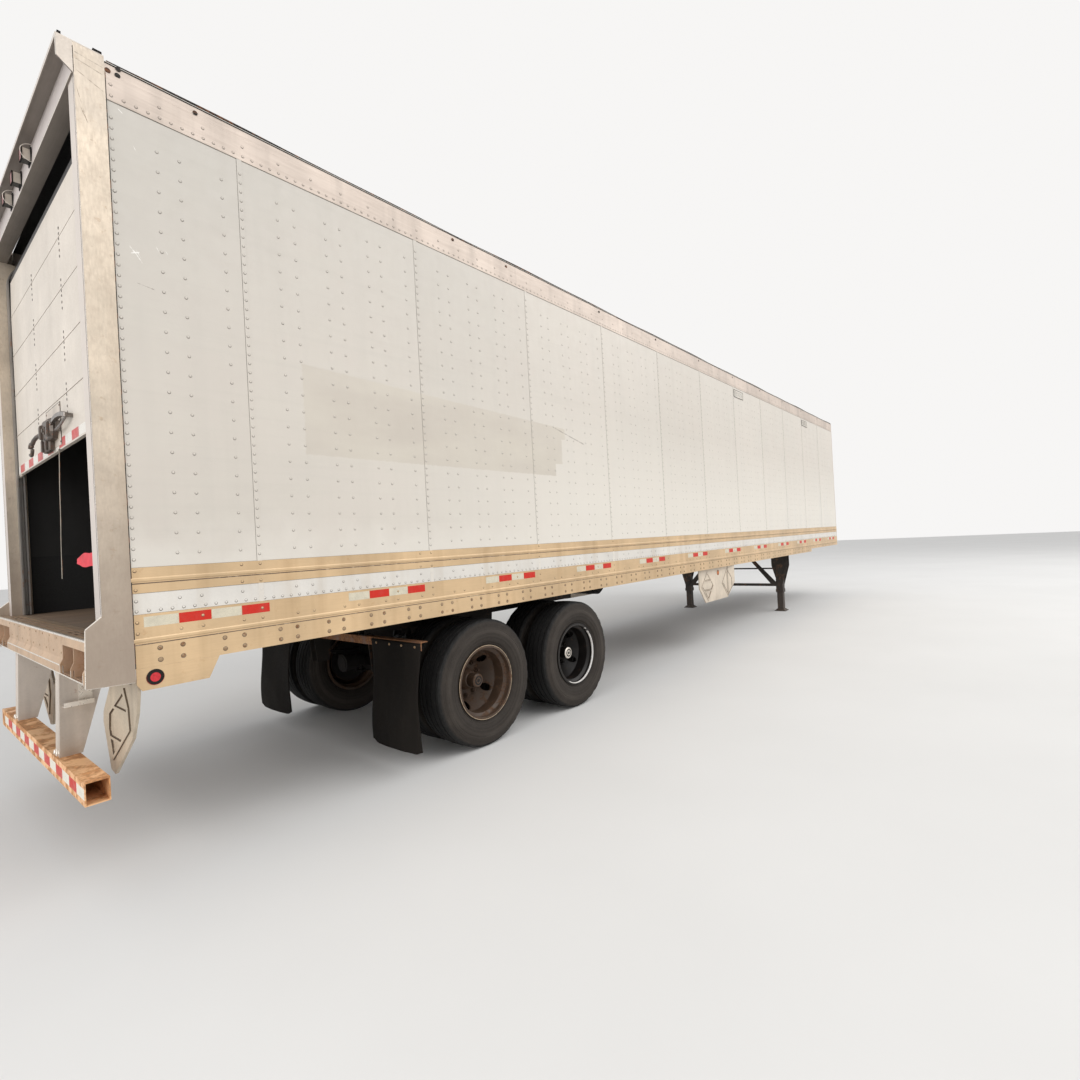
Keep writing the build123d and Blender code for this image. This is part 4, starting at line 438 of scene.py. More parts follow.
MATERIALS = {
    "sheet": sheet_finish("sheet_paint"),
    "sheet_patch": sheet_finish(
        "sheet_paint_patched", (graphics_mark, *[scratch(*mark) for mark in SHEET_SCUFFS])),
    "sheet_front": sheet_finish("sheet_paint_front", front=SHEET_REAR + FRONT - 0.010),
    "strip": weathered(
        "strip_paint", (0.70, 0.665, 0.61), 0.42, tone=(0.08, 2.5), streak=(0.30, (0.42, 0.32, 0.20)),
        spots=(0.20, 24.0, 0.66, RUST)),
    # The rails' upward faces carry a painted highlight, their downward faces a painted shade.
    "rail": weathered(
        "rail_metal", (0.64, 0.455, 0.265), 0.42, 0.35, tone=(0.15, 2.2), streak=(0.35, GOLD_STREAK),
        spots=(0.30, 22.0, 0.62, (0.30, 0.15, 0.06)), grain=(160.0, (0.05, 1, 1)),
        coats=(faced(2, 1.0, 0.45, (0.80, 0.70, 0.52)), faced(2, -1.0, 0.75, (0.14, 0.08, 0.04)))),
    "top_rail": weathered(
        "top_rail_metal", (0.58, 0.49, 0.42), 0.48, 0.30, tone=(0.12, 2.0), streak=(0.25, GRIME),
        spots=(0.2, 20.0, 0.66, RUST), grain=(90.0, (0.05, 1, 1)),
        coats=(past(2, TOP_RAIL_EDGE_Z - TINT_EDGE, TOP_RAIL_EDGE_Z + TINT_EDGE, (0.050, 0.047, 0.044)),)),
    # The posts' rear faces are painted lighter, a painted highlight.
    "post": weathered(
        "post_metal", (0.62, 0.525, 0.415), 0.42, 0.35, tone=(0.14, 4.0), streak=(0.30, (0.34, 0.25, 0.17)),
        spots=(0.40, 26.0, 0.60, (0.26, 0.17, 0.10)), grain=(120.0, (1, 1, 0.25)), fine=0.16, bump=0.35,
        coats=(blotches(30.0, 6.0, 0.7, 0.48, 0.66, 0.30, (0.44, 0.35, 0.27)),
               height_fade(2.20, 1.30, 0.78, (0.32, 0.250, 0.198)),
               height_fade(3.75, 4.0, 0.40, (0.50, 0.45, 0.40)),
               *[scratch(*mark) for mark in POST_SCRATCHES], faced(0, -1.0, 0.70, (0.70, 0.64, 0.60)))),
    # The header's rear faces carry a painted highlight, its undersides a painted shade, and its front face a
    # near-black painted shade.
    "header": weathered(
        "header_metal", (0.60, 0.53, 0.46), 0.42, 0.30, tone=(0.14, 3.0), streak=(0.30, GRIME),
        spots=(0.3, 15.0, 0.62, RUST), grain=(150.0, (1, 0.05, 1)),
        coats=(faced(0, -1.0, 0.55, (0.66, 0.60, 0.60)), faced(2, -1.0, 0.85, (0.13, 0.110, 0.095)),
               faced(0, 1.0, 1.0, INSIDE_PAINTED_SHADE))),
    # The roof's underside is painted near black, a painted shade.
    "roof": weathered(
        "roof_sheet", (0.57, 0.54, 0.49), 0.5, 0.2, tone=(0.12, 0.8),
        spots=(0.3, 3.0, 0.58, (0.22, 0.20, 0.17)), coats=(faced(2, -1.0, 1.0, INSIDE_PAINTED_SHADE),)),
    "galvanised": weathered(
        "galvanised_steel", (0.30, 0.28, 0.26), 0.45, 0.60, tone=(0.14, 4.0), streak=(0.3, GRIME),
        spots=(0.45, 12.0, 0.58, RUST)),
    "fastener": weathered(
        "door_fastener_steel", (0.085, 0.070, 0.060), 0.60, 0.2, tone=(0.3, 30.0),
        spots=(0.5, 40.0, 0.56, RUST)),
    "latch_handle": weathered(
        "latch_handle_steel", (0.23, 0.205, 0.185), 0.32, 0.75, tone=(0.35, 30.0), streak=(0.4, GRIME),
        spots=(0.5, 40.0, 0.54, (0.06, 0.04, 0.03))),
    "latch": weathered(
        "latch_steel", (0.120, 0.098, 0.082), 0.42, 0.55, tone=(0.25, 22.0), streak=(0.4, GRIME),
        spots=(0.6, 45.0, 0.56, RUST),
        coats=(past(0, DOOR_REAR - 0.007, DOOR_REAR - 0.006, (0.60, 0.54, 0.46)),)),
    # The sill's upward faces are darker, and its downward faces carry a painted shade.
    "sill": weathered(
        "sill_steel", (0.58, 0.405, 0.265), 0.48, 0.35, tone=(0.15, 4.0), streak=(0.35, (0.24, 0.15, 0.08)),
        spots=(0.55, 9.0, 0.56, (0.26, 0.14, 0.06)),
        coats=(faced(2, 1.0, 0.70, (0.23, 0.165, 0.115)),
               faced(2, -1.0, 0.7, (0.10, 0.065, 0.04)))),
    "frame": weathered(
        "frame_steel", (0.026, 0.022, 0.019), 0.75, tone=(0.25, 2.0),
        spots=(0.5, 8.0, 0.57, (0.09, 0.04, 0.018)), spec=0.15),
    "black": weathered(
        "black_parts", (0.016, 0.014, 0.013), 0.65, tone=(0.3, 3.0),
        spots=(0.35, 10.0, 0.62, (0.08, 0.035, 0.016)), spec=0.15),
    "seam": weathered("seam_shadow", (0.200, 0.180, 0.155), 0.8, tone=(0.3, 5.0)),
    # Dark brown for dirt and dark joints, and for painted shadows under rivets, bolts and the rails' ribs and
    # painted shade along the panels' ribs.
    "seam_brown": weathered(
        "rib_shadow_and_dirt", (0.150, 0.105, 0.070), 0.9, tone=(0.35, 14.0),
        spots=(0.6, 20.0, 0.54, (0.40, 0.32, 0.23))),
    "gap": weathered("gap_shadow", (0.020, 0.017, 0.014), 0.8, tone=(0.3, 6.0), spots=(0.5, 20.0, 0.5, RUST)),
    "gear": weathered(
        "gear_paint", (0.040, 0.031, 0.025), 0.65, 0.1, tone=(0.30, 5.0),
        spots=(0.6, 8.0, 0.54, (0.115, 0.056, 0.028)), splash=(0.0, 0.45, 0.4, (0.13, 0.100, 0.075))),
    "liner": weathered("scuff_liner", (0.012, 0.012, 0.012), 0.6, tone=(0.3, 1.4), fine=0.2),
    # Above its straight part the door is painted near black, a painted shade.
    "door": weathered(
        "door_paint", (0.69, 0.62, 0.54), 0.45, tone=(0.08, 2.5), streak=(0.20, (0.40, 0.34, 0.27)),
        spots=(0.2, 26.0, 0.68, (0.30, 0.22, 0.15)),
        coats=(blotches(1.7, 5.0, 0.65, 0.48, 0.60, 0.35, (0.54, 0.485, 0.42)),
               past(2, DOOR_STRAIGHT_TOP - TINT_EDGE, DOOR_STRAIGHT_TOP + TINT_EDGE, (0.014, 0.013, 0.013)))),
    "bracket": weathered(
        "bracket_paint", (0.62, 0.545, 0.47), 0.55, 0.10, tone=(0.10, 5.0), streak=(0.35, GRIME),
        spots=(0.5, 13.0, 0.62, RUST), splash=(0.50, 0.66, 0.7, (0.36, 0.24, 0.14))),
    # The rib flanks are darkened: dirt and painted shade.
    "kite": weathered(
        "kite_plastic", (0.55, 0.465, 0.355), 0.55, tone=(0.14, 5.0), streak=(0.45, (0.22, 0.16, 0.11)),
        fine=0.14, splash=(0.5, 0.85, 0.30, (0.34, 0.27, 0.19)),
        coats=(slab(0, KITE_FACE - 0.0078, KITE_FACE - 0.0006, 0.92, RIB_DIRT_AND_SHADE),)),
    # The rib flanks are darkened: dirt and painted shade.
    "fairing": weathered(
        "fairing_plastic", (0.68, 0.585, 0.47), 0.55, tone=(0.12, 5.0), streak=(0.35, (0.24, 0.17, 0.11)),
        fine=0.12, splash=(0.5, 0.85, 0.30, (0.36, 0.28, 0.20)),
        coats=(slab(1, FAIRING_FACE + 0.0006, FAIRING_FACE + 0.0050, 0.75, RIB_DIRT_AND_SHADE, both=True),)),
    "vent": weathered("vent_paint", (0.64, 0.60, 0.53), 0.5, tone=(0.08, 1.4), streak=(0.3, GRIME)),
    "wood": wood_finish(),
    "beam": rust_finish("beam_rust", (0.86, 0.50, 0.25), 0.62, 7.0, (0.27, 0.115, 0.045), (0.72, 0.35, 0.14)),
    "rusty": rust_finish("rusty_steel", (0.20, 0.095, 0.050), 0.75, 10.0),
    "bolt": rust_finish(
        "bolt_heads", (0.34, 0.235, 0.135), 0.45, 60.0, (0.12, 0.055, 0.025), (0.34, 0.17, 0.075)),
    "rim_rust": rust_finish(
        "rim_rusty", (0.062, 0.036, 0.021), 0.45, 12.0, (0.026, 0.013, 0.008), (0.135, 0.072, 0.037)),
    "rim_dark": weathered(
        "rim_dark", (0.013, 0.011, 0.010), 0.40, 0.1, tone=(0.3, 9.0),
        spots=(0.5, 18.0, 0.60, (0.07, 0.035, 0.018)), spec=0.30),
    "rubber": rubber_finish("flap_rubber", (0.0085, 0.0070, 0.0058), 0.22),
    "tyre_rear": tyre_finish("tyre_rubber_rear", AXLES["rear"]),
    "tyre_front": tyre_finish("tyre_rubber_front", AXLES["front"]),
    "side_lens": weathered(
        "side_lamp_lens", (0.55, 0.020, 0.030), 0.18, tone=(0.2, 60.0),
        coats=(past(0, -4.0, -3.9, (0.70, 0.17, 0.02)),)),
    "header_lamp": weathered(
        "header_lamp_shell", (0.62, 0.56, 0.48), 0.35, 0.3, tone=(0.15, 20.0), spots=(0.4, 40.0, 0.62, RUST),
        coats=(faced(2, -1.0, 1.0, (0.012, 0.011, 0.010)), faced(0, -1.0, 0.95, (0.20, 0.020, 0.015)),
               past(2, 2.0, 2.1, (0.40, 0.015, 0.012), before=True))),
    "white_tape": tape_finish("white_tape", (0.70, 0.64, 0.50)),
    "red_tape": tape_finish("red_tape", (0.62, 0.030, 0.018), 0.15),
    "guard_white": tape_finish("guard_white_tape", (0.84, 0.80, 0.69), 0.15),
    "door_white_tape": tape_finish("door_white_tape", (0.80, 0.76, 0.70), 0.2),
    "pink_tape": tape_finish("pink_tape", (0.60, 0.110, 0.105), 0.25),
    "bright": weathered(
        "bright_edge", (0.80, 0.74, 0.66), 0.32, 0.55, tone=(0.10, 12.0), spots=(0.35, 30.0, 0.60, RUST)),
    "rim_lip": lip_highlight_finish(),
    "rim_line": rust_finish(
        "rusty_rim_lip", (0.52, 0.40, 0.27), 0.35, 26.0, (0.12, 0.06, 0.03), (0.34, 0.21, 0.11)),
    "pin": weathered("kingpin_steel", (0.30, 0.29, 0.28), 0.35, 0.9, tone=(0.1, 1.4), fine=0.2),
    "cloth_red": weathered(
        "red_cloth", (0.70, 0.055, 0.075), 0.75, tone=(0.16, 14.0), grain=(600.0, (1, 1, 1)), fine=0.12,
        bump=0.4),
    "webbing": weathered(
        "strap_webbing", (0.42, 0.37, 0.30), 0.8, tone=(0.18, 8.0), streak=(0.3, GRIME),
        grain=(500.0, (1, 1, 0.3)), fine=0.30, bump=0.6),
}

FINISH_NODES = {
    "sheet_patch": "side_wall_right", "sheet": "side_wall_left", "sheet_front": "front_wall", "roof": "roof",
    "top_rail": "front_corner_posts top_rails", "rail": "rub_rails lower_side_rails lamp_brackets",
    "wood": "floor", "frame": "crossmembers coupler_plate slide_rails bogie_frame", "liner": "scuff_liners",
    "post": "rear_posts", "header": "rear_header", "sill": "rear_sill", "header_lamp": "rear_lamps",
    "door": "door_panels", "galvanised": "door_tracks door_balance_shaft", "latch": "door_latch",
    "webbing": "pull_strap", "fairing": "mid_fairings", "side_lens": "side_lamps", "vent": "vents",
    "pin": "kingpin", "bracket": "guard_brackets", "beam": "guard_beam", "rusty": "mud_flap_brackets",
    "gear": "landing_gear_housings landing_gear_legs landing_gear_braces landing_gear_crank",
    "rubber": "mud_flaps", "kite": "rear_aero_panels", "cloth_red": "red_tag",
    "rim_rust": "wheel_rear_right wheel_rear_left", "rim_dark": "wheel_front_right wheel_front_left",
}
NODE_FINISH = {node_name: finish for finish, names in FINISH_NODES.items() for node_name in names.split()}
for node_name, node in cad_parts.items():
    for material_slot in node.material_slots:
        material_slot.material = MATERIALS[NODE_FINISH.get(node_name, "black")]


# Mesh helpers

def piece(name, vertices, faces, finish, body=TRAILER, smooth=False):
    """A mesh in the row frame that rides on a body."""
    mesh = bpy.data.meshes.new(name)
    mesh.from_pydata(vertices, [], faces)
    mesh.validate()
    mesh.update()
    mesh.materials.append(MATERIALS[finish])
    obj = bpy.data.objects.new(name, mesh)
    bpy.context.scene.collection.objects.link(obj)
    if smooth:
        mesh.polygons.foreach_set("use_smooth", [True] * len(mesh.polygons))
    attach(obj, body)
    return obj


def ring(radius, height, sides):
    """Points on a circle about Z."""
    turns = [2 * math.pi * n / sides for n in range(sides)]
    return [(radius * math.cos(a), radius * math.sin(a), height) for a in turns]


def skin(rows, flip=False, caps=True, closed=False):
    """A surface through rings of as many points each, with its two ends capped or joined to each other."""
    count = len(rows[0])
    faces = []
    for k in range(len(rows) if closed else len(rows) - 1):
        a, b = k * count, (k + 1) % len(rows) * count
        for n in range(count):
            m = (n + 1) % count
            faces.append((a + n, a + m, b + m, b + n))
    if caps:
        faces.append(tuple(range(count))[::-1])
        faces.append(tuple(range((len(rows) - 1) * count, len(rows) * count)))
    if flip:
        faces = [face[::-1] for face in faces]
    return [tuple(point) for row in rows for point in row], faces


def dome(radius, height, sides=8):
    """A low rivet head on the XY plane, rising along Z."""
    levels = ((radius, 0.0), (radius, height * 0.15), (radius * 0.72, height * 0.75))
    vertices, faces = skin([ring(r, z, sides) for r, z in levels])
    faces.pop()
    vertices.append((0, 0, height))
    faces += [(2 * sides + n, 2 * sides + (n + 1) % sides, 3 * sides) for n in range(sides)]
    return vertices, faces


def lathe(profile, segments):
    """A shape turned about Z, from (radius, height) points."""
    return skin([ring(r, z, segments) for r, z in profile], caps=False)


def prism(sides, radius, height, chamfer):
    levels = ((radius, 0.0), (radius, height - chamfer), (radius - chamfer, height))
    return skin([ring(r, z, sides) for r, z in levels])


def disc(radius, height, sides=8):
    """A thin flat disc standing a little off the XY plane."""
    return skin([ring(radius, 0.0, sides), ring(radius, height, sides)])


def facing(point, axis, roll=0.0):
    """A matrix that stands a shape's Z along an axis, at a point."""
    turn = Vector(axis).normalized().to_track_quat("Z", "Y").to_matrix().to_4x4()
    return Matrix.Translation(Vector(point)) @ turn @ Matrix.Rotation(roll, 4, "Z")


def ways(points):
    """The direction of a line of points at each point."""
    last = len(points) - 1
    return [Vector(points[min(k + 1, last)]) - Vector(points[max(k - 1, 0)]) for k in range(last + 1)]


def towards(points, reach):
    """The points of an outline, each moved by a distance towards their middle."""
    mid_a = sum(a for a, z in points) / len(points)
    mid_z = sum(z for a, z in points) / len(points)
    moved = []
    for a, z in points:
        share = reach / math.hypot(mid_a - a, mid_z - z)
        moved.append((a + (mid_a - a) * share, z + (mid_z - z) * share))
    return moved


def thick_sheet(grid, thickness, flip=False):
    """A sheet through rows of points, with two faces and a rim. Its thickness lies along X."""
    rows, cols = len(grid) - 1, len(grid[0]) - 1
    wide = cols + 1
    count = len(grid) * wide
    half = thickness / 2
    vertices = [(x + offset, y, z) for offset in (-half, half) for row in grid for x, y, z in row]
    faces = []
    for j in range(rows):
        for i in range(cols):
            start = j * wide + i
            quad = (start, start + 1, start + wide + 1, start + wide)
            faces += [quad, tuple(corner + count for corner in quad[::-1])]
    rim = list(range(cols)) + [j * wide + cols for j in range(rows)]
    rim += [rows * wide + i for i in range(cols, 0, -1)] + [j * wide for j in range(rows, 0, -1)]
    faces += [(b, a, a + count, b + count) for a, b in zip(rim, rim[1:] + rim[:1])]
    return vertices, [face[::-1] for face in faces] if flip else faces


class Builder:
    """Collects many small solids into one mesh."""

    def __init__(self):
        self.vertices = []
        self.faces = []

    def add(self, vertices, faces, matrix=None):
        start = len(self.vertices)
        self.vertices += [tuple(matrix @ Vector(v)) if matrix else tuple(v) for v in vertices]
        self.faces += [[start + i for i in face] for face in faces]

    def box(self, corner, opposite):
        (x0, x1), (y0, y1), (z0, z1) = [sorted(pair) for pair in zip(corner, opposite)]
        levels = [[(x0, y0, z), (x1, y0, z), (x1, y1, z), (x0, y1, z)] for z in (z0, z1)]
        self.add(*skin(levels))

    def wire(self, points, radius, sides=8):
        """A thin round wire through points."""
        rows = []
        for point, way in zip(points, ways(points)):
            turn = facing(point, way)
            rows.append([turn @ Vector(corner) for corner in ring(radius, 0.0, sides)])
        self.add(*skin(rows))

    def plate(self, outline, back, front, bevel):
        """A plate with an outline of (across, height) points between two depths, its rear edge bevelled."""
        area = sum(a[0] * b[1] - b[0] * a[1] for a, b in zip(outline, outline[1:] + outline[:1]))
        points = outline if area > 0 else outline[::-1]
        rows = [(back, points), (front + bevel, points), (front, towards(points, bevel))]
        self.add(*skin([[(x, a, z) for a, z in row] for x, row in rows], flip=True))

    def piece(self, name, finish, slot, body=TRAILER, smooth=False):
        return piece(name, self.vertices, self.faces, finish, body, smooth)


def run_boxes(name, boxes, finish, slot):
    build = Builder()
    for corner, opposite in boxes:
        build.box(corner, opposite)
    return build.piece(name, finish, slot)


RIVET = dome(0.0068, 0.0034)
SMALL_RIVET = dome(0.0064, 0.0032)
BOLT = dome(0.0110, 0.0034, 6)
EDGE_BOLT = dome(0.0125, 0.0030, 10)
SHADOW = disc(0.0084, 0.0005)
BOLT_SHADOW = disc(0.0128, 0.0005, 10)
SHADOW_DROP = 0.0012


class Fasteners:
    """Rivets or bolts on a face that looks along an axis, with a dark ring round each: dirt and a painted
    shadow, set a little below the head.
    """

    def __init__(self, out):
        self.heads = Builder()
        self.rings = Builder()
        self.out = out

    def add(self, x, y, z, head=SMALL_RIVET, shadow=SHADOW):
        self.heads.add(*head, facing((x, y, z), self.out))
        self.rings.add(*shadow, facing((x, y, z - SHADOW_DROP), self.out))

    def pieces(self, name, finish, ring_finish, slot, tag=""):
        self.heads.piece(name + "s" + tag, finish, slot)
        self.rings.piece(name + "_shade" + tag, ring_finish, slot)


# Rivets of the side sheets, posts and rails

FINE_PITCH = 0.0517
WIDE_PITCH = 0.1034
FIRST_COLUMN = 0.0175
REAR_COLUMNS = (0.208, 0.311)
BEFORE_SEAM = 0.088
AFTER_SEAM = 0.014
SHEET_RIVETS = (1.625, 3.895)
STRIP_ROWS = (1.396, 1.446)
SIDE_RAIL_ROWS = (1.287, 1.341)
RUB_RAIL_ROWS = (1.500, 1.594)
TOP_RAIL_ROWS = (3.931, 3.986)
STRIP_COUNT = 275
TOP_RAIL_COUNT = 274
LAST_COLUMN = 14.2
STRIP_PROUD = 0.0006
LAP_PROUD = 0.0015
FLOOR_BOLT_PITCH = 0.3048
FLOOR_BOLT_COUNT = 46
FLOOR_BOLT_HALF = 0.051
FLOOR_BOLT_ROWS = (1.205, 1.146)
LAST_LOW_BOLT = 12.0
ROOF_EDGE_BOLTS = ((0.058, 4.082), (0.054, 4.048), (0.014, 4.050), (0.402, 4.052), (2.244, 4.052),
                   (2.859, 4.046), *[(4.308 + 1.25 * n, 4.050) for n in range(8)])


def column(low, high, pitch):
    return [low + pitch * (n + 0.5) for n in range(int((high - low) / pitch))]


def post_columns():
    """Every rivet column as (distance, pitch, whether it runs down through a sheet lap)."""
    columns = [(FIRST_COLUMN, FINE_PITCH, False)] + [(x, WIDE_PITCH, False) for x in REAR_COLUMNS]
    for seam in SEAMS:
        columns += [(seam - BEFORE_SEAM, WIDE_PITCH, False), (seam + AFTER_SEAM, FINE_PITCH, True)]
        for n in (1, 2, 3):
            middle = seam - 0.037 + POST_PITCH * n
            if middle + POST_HALF < FRONT - 0.13:
                columns += [(middle - POST_HALF, WIDE_PITCH, False), (middle + POST_HALF, WIDE_PITCH, False)]
    return columns


def side_fasteners(side, tag):
    wall, strip, rail, crown, bolts = [Fasteners((0, side, 0)) for n in range(5)]
    strip_y = side * (SHEET_Y + STRIP_PROUD)
    rail_y = side * RAIL_Y
    for x, pitch, lap in post_columns():
        for z in column(*SHEET_RIVETS, pitch):
            wall.add(fx(x), side * (SHEET_Y + (LAP_PROUD if lap else 0.0)), z, RIVET)
        if x > LAST_COLUMN:
            continue
        double = x == FIRST_COLUMN or lap
        strip.add(fx(x), strip_y, STRIP_ROWS[1])
        rail.add(fx(x), rail_y, SIDE_RAIL_ROWS[0])
        if double or pitch == WIDE_PITCH and abs((x - REAR_COLUMNS[1]) % PANEL) < 0.01:
            rail.add(fx(x), side * (RAIL_Y + 0.0002), SIDE_RAIL_ROWS[1])
        if double or abs((x + BEFORE_SEAM - SEAM_FIRST) % PANEL) < 0.001:
            for z in RUB_RAIL_ROWS:
                rail.add(fx(x), rail_y, z)
    for n in range(STRIP_COUNT):
        strip.add(fx(FIRST_COLUMN + FINE_PITCH * n), strip_y, STRIP_ROWS[0])
    for n in range(TOP_RAIL_COUNT):
        for z in TOP_RAIL_ROWS if n % 4 == 0 else TOP_RAIL_ROWS[:1]:
            crown.add(fx(0.022 + FINE_PITCH * n), rail_y, z)
    for n in range(FLOOR_BOLT_COUNT):
        middle = 0.16 + FLOOR_BOLT_PITCH * n
        for x in (middle - FLOOR_BOLT_HALF, middle + FLOOR_BOLT_HALF):
            for z in FLOOR_BOLT_ROWS if middle < LAST_LOW_BOLT else FLOOR_BOLT_ROWS[:1]:
                bolts.add(fx(x), rail_y, z, BOLT, BOLT_SHADOW)
    wall.pieces("sheet_rivet", "sheet", "seam", "wall_sheet", tag)
    strip.pieces("strip_rivet", "strip", "seam", "wall_sheet", tag)
    crown.pieces("top_rail_rivet", "top_rail", "seam", "rail_metal", tag)
    rail.pieces("rail_rivet", "rail", "seam_brown", "rail_metal", tag)
    bolts.pieces("floor_bolt", "bolt", "seam_brown", "rail_metal", tag)
    heads = Builder()
    for x, z in ROOF_EDGE_BOLTS:
        heads.add(*EDGE_BOLT, facing((fx(x), rail_y, z), (0, side, 0)))
    heads.piece("roof_edge_bolts" + tag, "gap", "rail_metal")


for side, name in SIDES:
    side_fasteners(side, "_" + name)


# The white strip between the rails, sheet laps, and the dark joint beside the post

SHEET_BACK_Y = SHEET_Y - 0.001
FRONT_END = 14.31
SHEET_EDGES = ((1.3787, 1.3801), (1.4823, 1.4842), (1.6094, 1.6112), (3.9012, 3.9040))
RIB_FEET = ((1.2285, 1.2335), (1.5285, 1.5340))


def band(side, start, end, back, proud, low_z, high_z):
    """A box on one side between two distances, two depths and two heights."""
    return (fx(start), side * back, low_z), (fx(end), side * proud, high_z)


for side, tag in SIDES:
    strip = [band(side, 0.001, 14.318, SHEET_BACK_Y, SHEET_Y + STRIP_PROUD, 1.3795, 1.4835)]
    laps = [band(side, 0.0, FRONT_END, SHEET_BACK_Y, SHEET_Y + 0.0014, *edge) for edge in SHEET_EDGES]
    for seam in SEAMS:
        laps.append(band(side, seam - 0.0024, seam, SHEET_BACK_Y, SHEET_Y + 0.0004, 1.611, 3.903))
        laps.append(band(side, seam + 0.026, seam + 0.0285, SHEET_BACK_Y, SHEET_Y + 0.0009, 1.381, 1.482))
    joint = [band(side, -0.0005, 0.0042, 1.284, 1.2930, 1.118, 4.034)]
    shadows = [band(side, 0.004, 14.30, RAIL_Y, RAIL_Y + 0.0004, *foot) for foot in RIB_FEET]
    run_boxes("white_strip_" + tag, strip, "strip", "wall_sheet")
    run_boxes("sheet_laps_" + tag, laps, "seam", "wall_sheet")
    run_boxes("post_joint_" + tag, joint, "gap", "wall_sheet")
    run_boxes("rib_shadow_" + tag, shadows, "seam_brown", "rail_metal")


# Frames and slats of the vents

VENT_LENGTH = 0.385
VENT_AFTER_SEAM = 0.033
VENT_PROUD = 0.0052
SLAT_COUNT = 9
SLAT_PITCH = 0.0365
vent_low, vent_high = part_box("vents")
z0, z1 = vent_low.z, vent_high.z
for side, tag in SIDES:
    boxes = []
    for seam in (SEAMS[-5], SEAMS[-2]):
        start = seam + VENT_AFTER_SEAM
        end = start + VENT_LENGTH
        for x0, x1, low, high in ((start, end, z0, z0 + 0.007), (start, end, z1 - 0.007, z1),
                                  (start, start + 0.009, z0, z1), (end - 0.009, end, z0, z1)):
            boxes.append(band(side, x0, x1, SHEET_Y, SHEET_Y + VENT_PROUD, low, high))
        for n in range(SLAT_COUNT):
            x = start + 0.04 + n * SLAT_PITCH
            boxes.append(band(side, x, x + 0.006, SHEET_Y + 0.002, SHEET_Y + 0.0032, z0 + 0.022, z1 - 0.022))
    run_boxes("vent_frames_" + tag, boxes, "gap", "wall_sheet")


# Reflecting tape

def tape(prefix, finishes, boxes, slot, tag=""):
    """Boxes of two finishes in turn."""
    for n, finish in enumerate(finishes):
        run_boxes(prefix + finish + tag, boxes[n::2], finish, slot)


TAPE_STARTS = (0.045, 1.17, 2.41, 3.66, 4.88, 6.14, 7.39, 8.62, 9.87, 11.05, 12.22, 13.42)
TAPE_STEP = 0.155
SIDE_TAPE_Z = (1.315, 1.366)
for side, tag in SIDES:
    boxes = []
    for start in TAPE_STARTS:
        for n in range(4):
            x = start + TAPE_STEP * n
            boxes.append(band(side, x, x + TAPE_STEP - 0.003, RAIL_Y - 0.001, RAIL_Y + 0.0006, *SIDE_TAPE_Z))
    tape("side_", ("white_tape", "red_tape"), boxes, "rail_metal", "_" + tag)

BEAM_STEP = 0.151
beam_low, beam_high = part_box("guard_beam")
boxes = []
for n in range(int((beam_high.y - beam_low.y) / BEAM_STEP)):
    y = beam_low.y + 0.004 + BEAM_STEP * n
    boxes.append(((beam_low.x - 0.0002, y, beam_low.z + 0.030),
                  (beam_low.x + 0.001, y + 0.149, beam_low.z + 0.084)))
tape("guard_", ("guard_white", "red_tape"), boxes, "guard_paint")

DOOR_LOW = 2.333
DOOR_HALF = 1.112
DOOR_TAPE_COUNT = 15
DOOR_TAPE_START = -1.170
boxes = []
for n in range(DOOR_TAPE_COUNT):
    y = DOOR_TAPE_START + (TAPE_STEP + 0.003) * n
    low_y, high_y = max(y, -DOOR_HALF), min(y + TAPE_STEP, DOOR_HALF)
    boxes.append(((DOOR_REAR - 0.0007, low_y, DOOR_LOW + 0.012),
                  (DOOR_REAR + 0.001, high_y, DOOR_LOW + 0.066)))
tape("door_", ("door_white_tape", "pink_tape"), boxes, "door_white")


# Door: hinge fasteners in columns, and a dark joint between panels

DOOR_PANEL = 0.298
JOINT_HALF = 1.116
HINGE_Y = (-0.470, 0.330)
HINGE_DOTS = (-0.112, -0.078, -0.040, -0.012, 0.018, 0.050)
REARWARD = (-1, 0, 0)
door_dots = Builder()
joints = []
for n in range(1, 5):
    foot = DOOR_LOW + DOOR_PANEL * n
    joints.append(((DOOR_REAR + 0.002, -JOINT_HALF, foot - 0.0024),
                   (DOOR_REAR + 0.012, JOINT_HALF, foot + 0.0016)))
    for y in HINGE_Y:
        for dz in HINGE_DOTS:
            door_dots.add(*dome(0.0088, 0.0020), facing((DOOR_REAR, y, foot + dz), REARWARD))
door_dots.piece("door_fasteners", "fastener", "door_white")
run_boxes("door_joint_seals", joints, "seam_brown", "door_white")


# Posts and header: weld lines, a folded corner groove, bright edges, and painted highlights on the header's
# lips

POST_REAR = SHEET_REAR - 0.122
HEADER_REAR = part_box("rear_header")[0].x
HEADER_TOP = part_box("rear_header")[1].z
for side, tag in SIDES:
    run_boxes("post_grooves_" + tag, [
        ((POST_REAR - 0.0005, side * (HALF - 0.018), 1.400),
         (POST_REAR + 0.001, side * (HALF - 0.015), 3.955)),
        ((POST_REAR - 0.0012, side * (HALF - 0.002), 3.958), (POST_REAR + 0.0016, side * HALF, 4.085)),
    ], "gap", "post_metal")
    run_boxes("post_edges_" + tag, [
        ((POST_REAR - 0.0004, side * (HALF - 0.006), 1.392), (POST_REAR + 0.0008, side * HALF, 3.950)),
        ((HEADER_REAR - 0.0004, side * (HALF - 0.0085), HEADER_TOP - 0.105),
         (HEADER_REAR + 0.0010, side * HALF, HEADER_TOP - 0.002)),
    ], "bright", "post_metal")
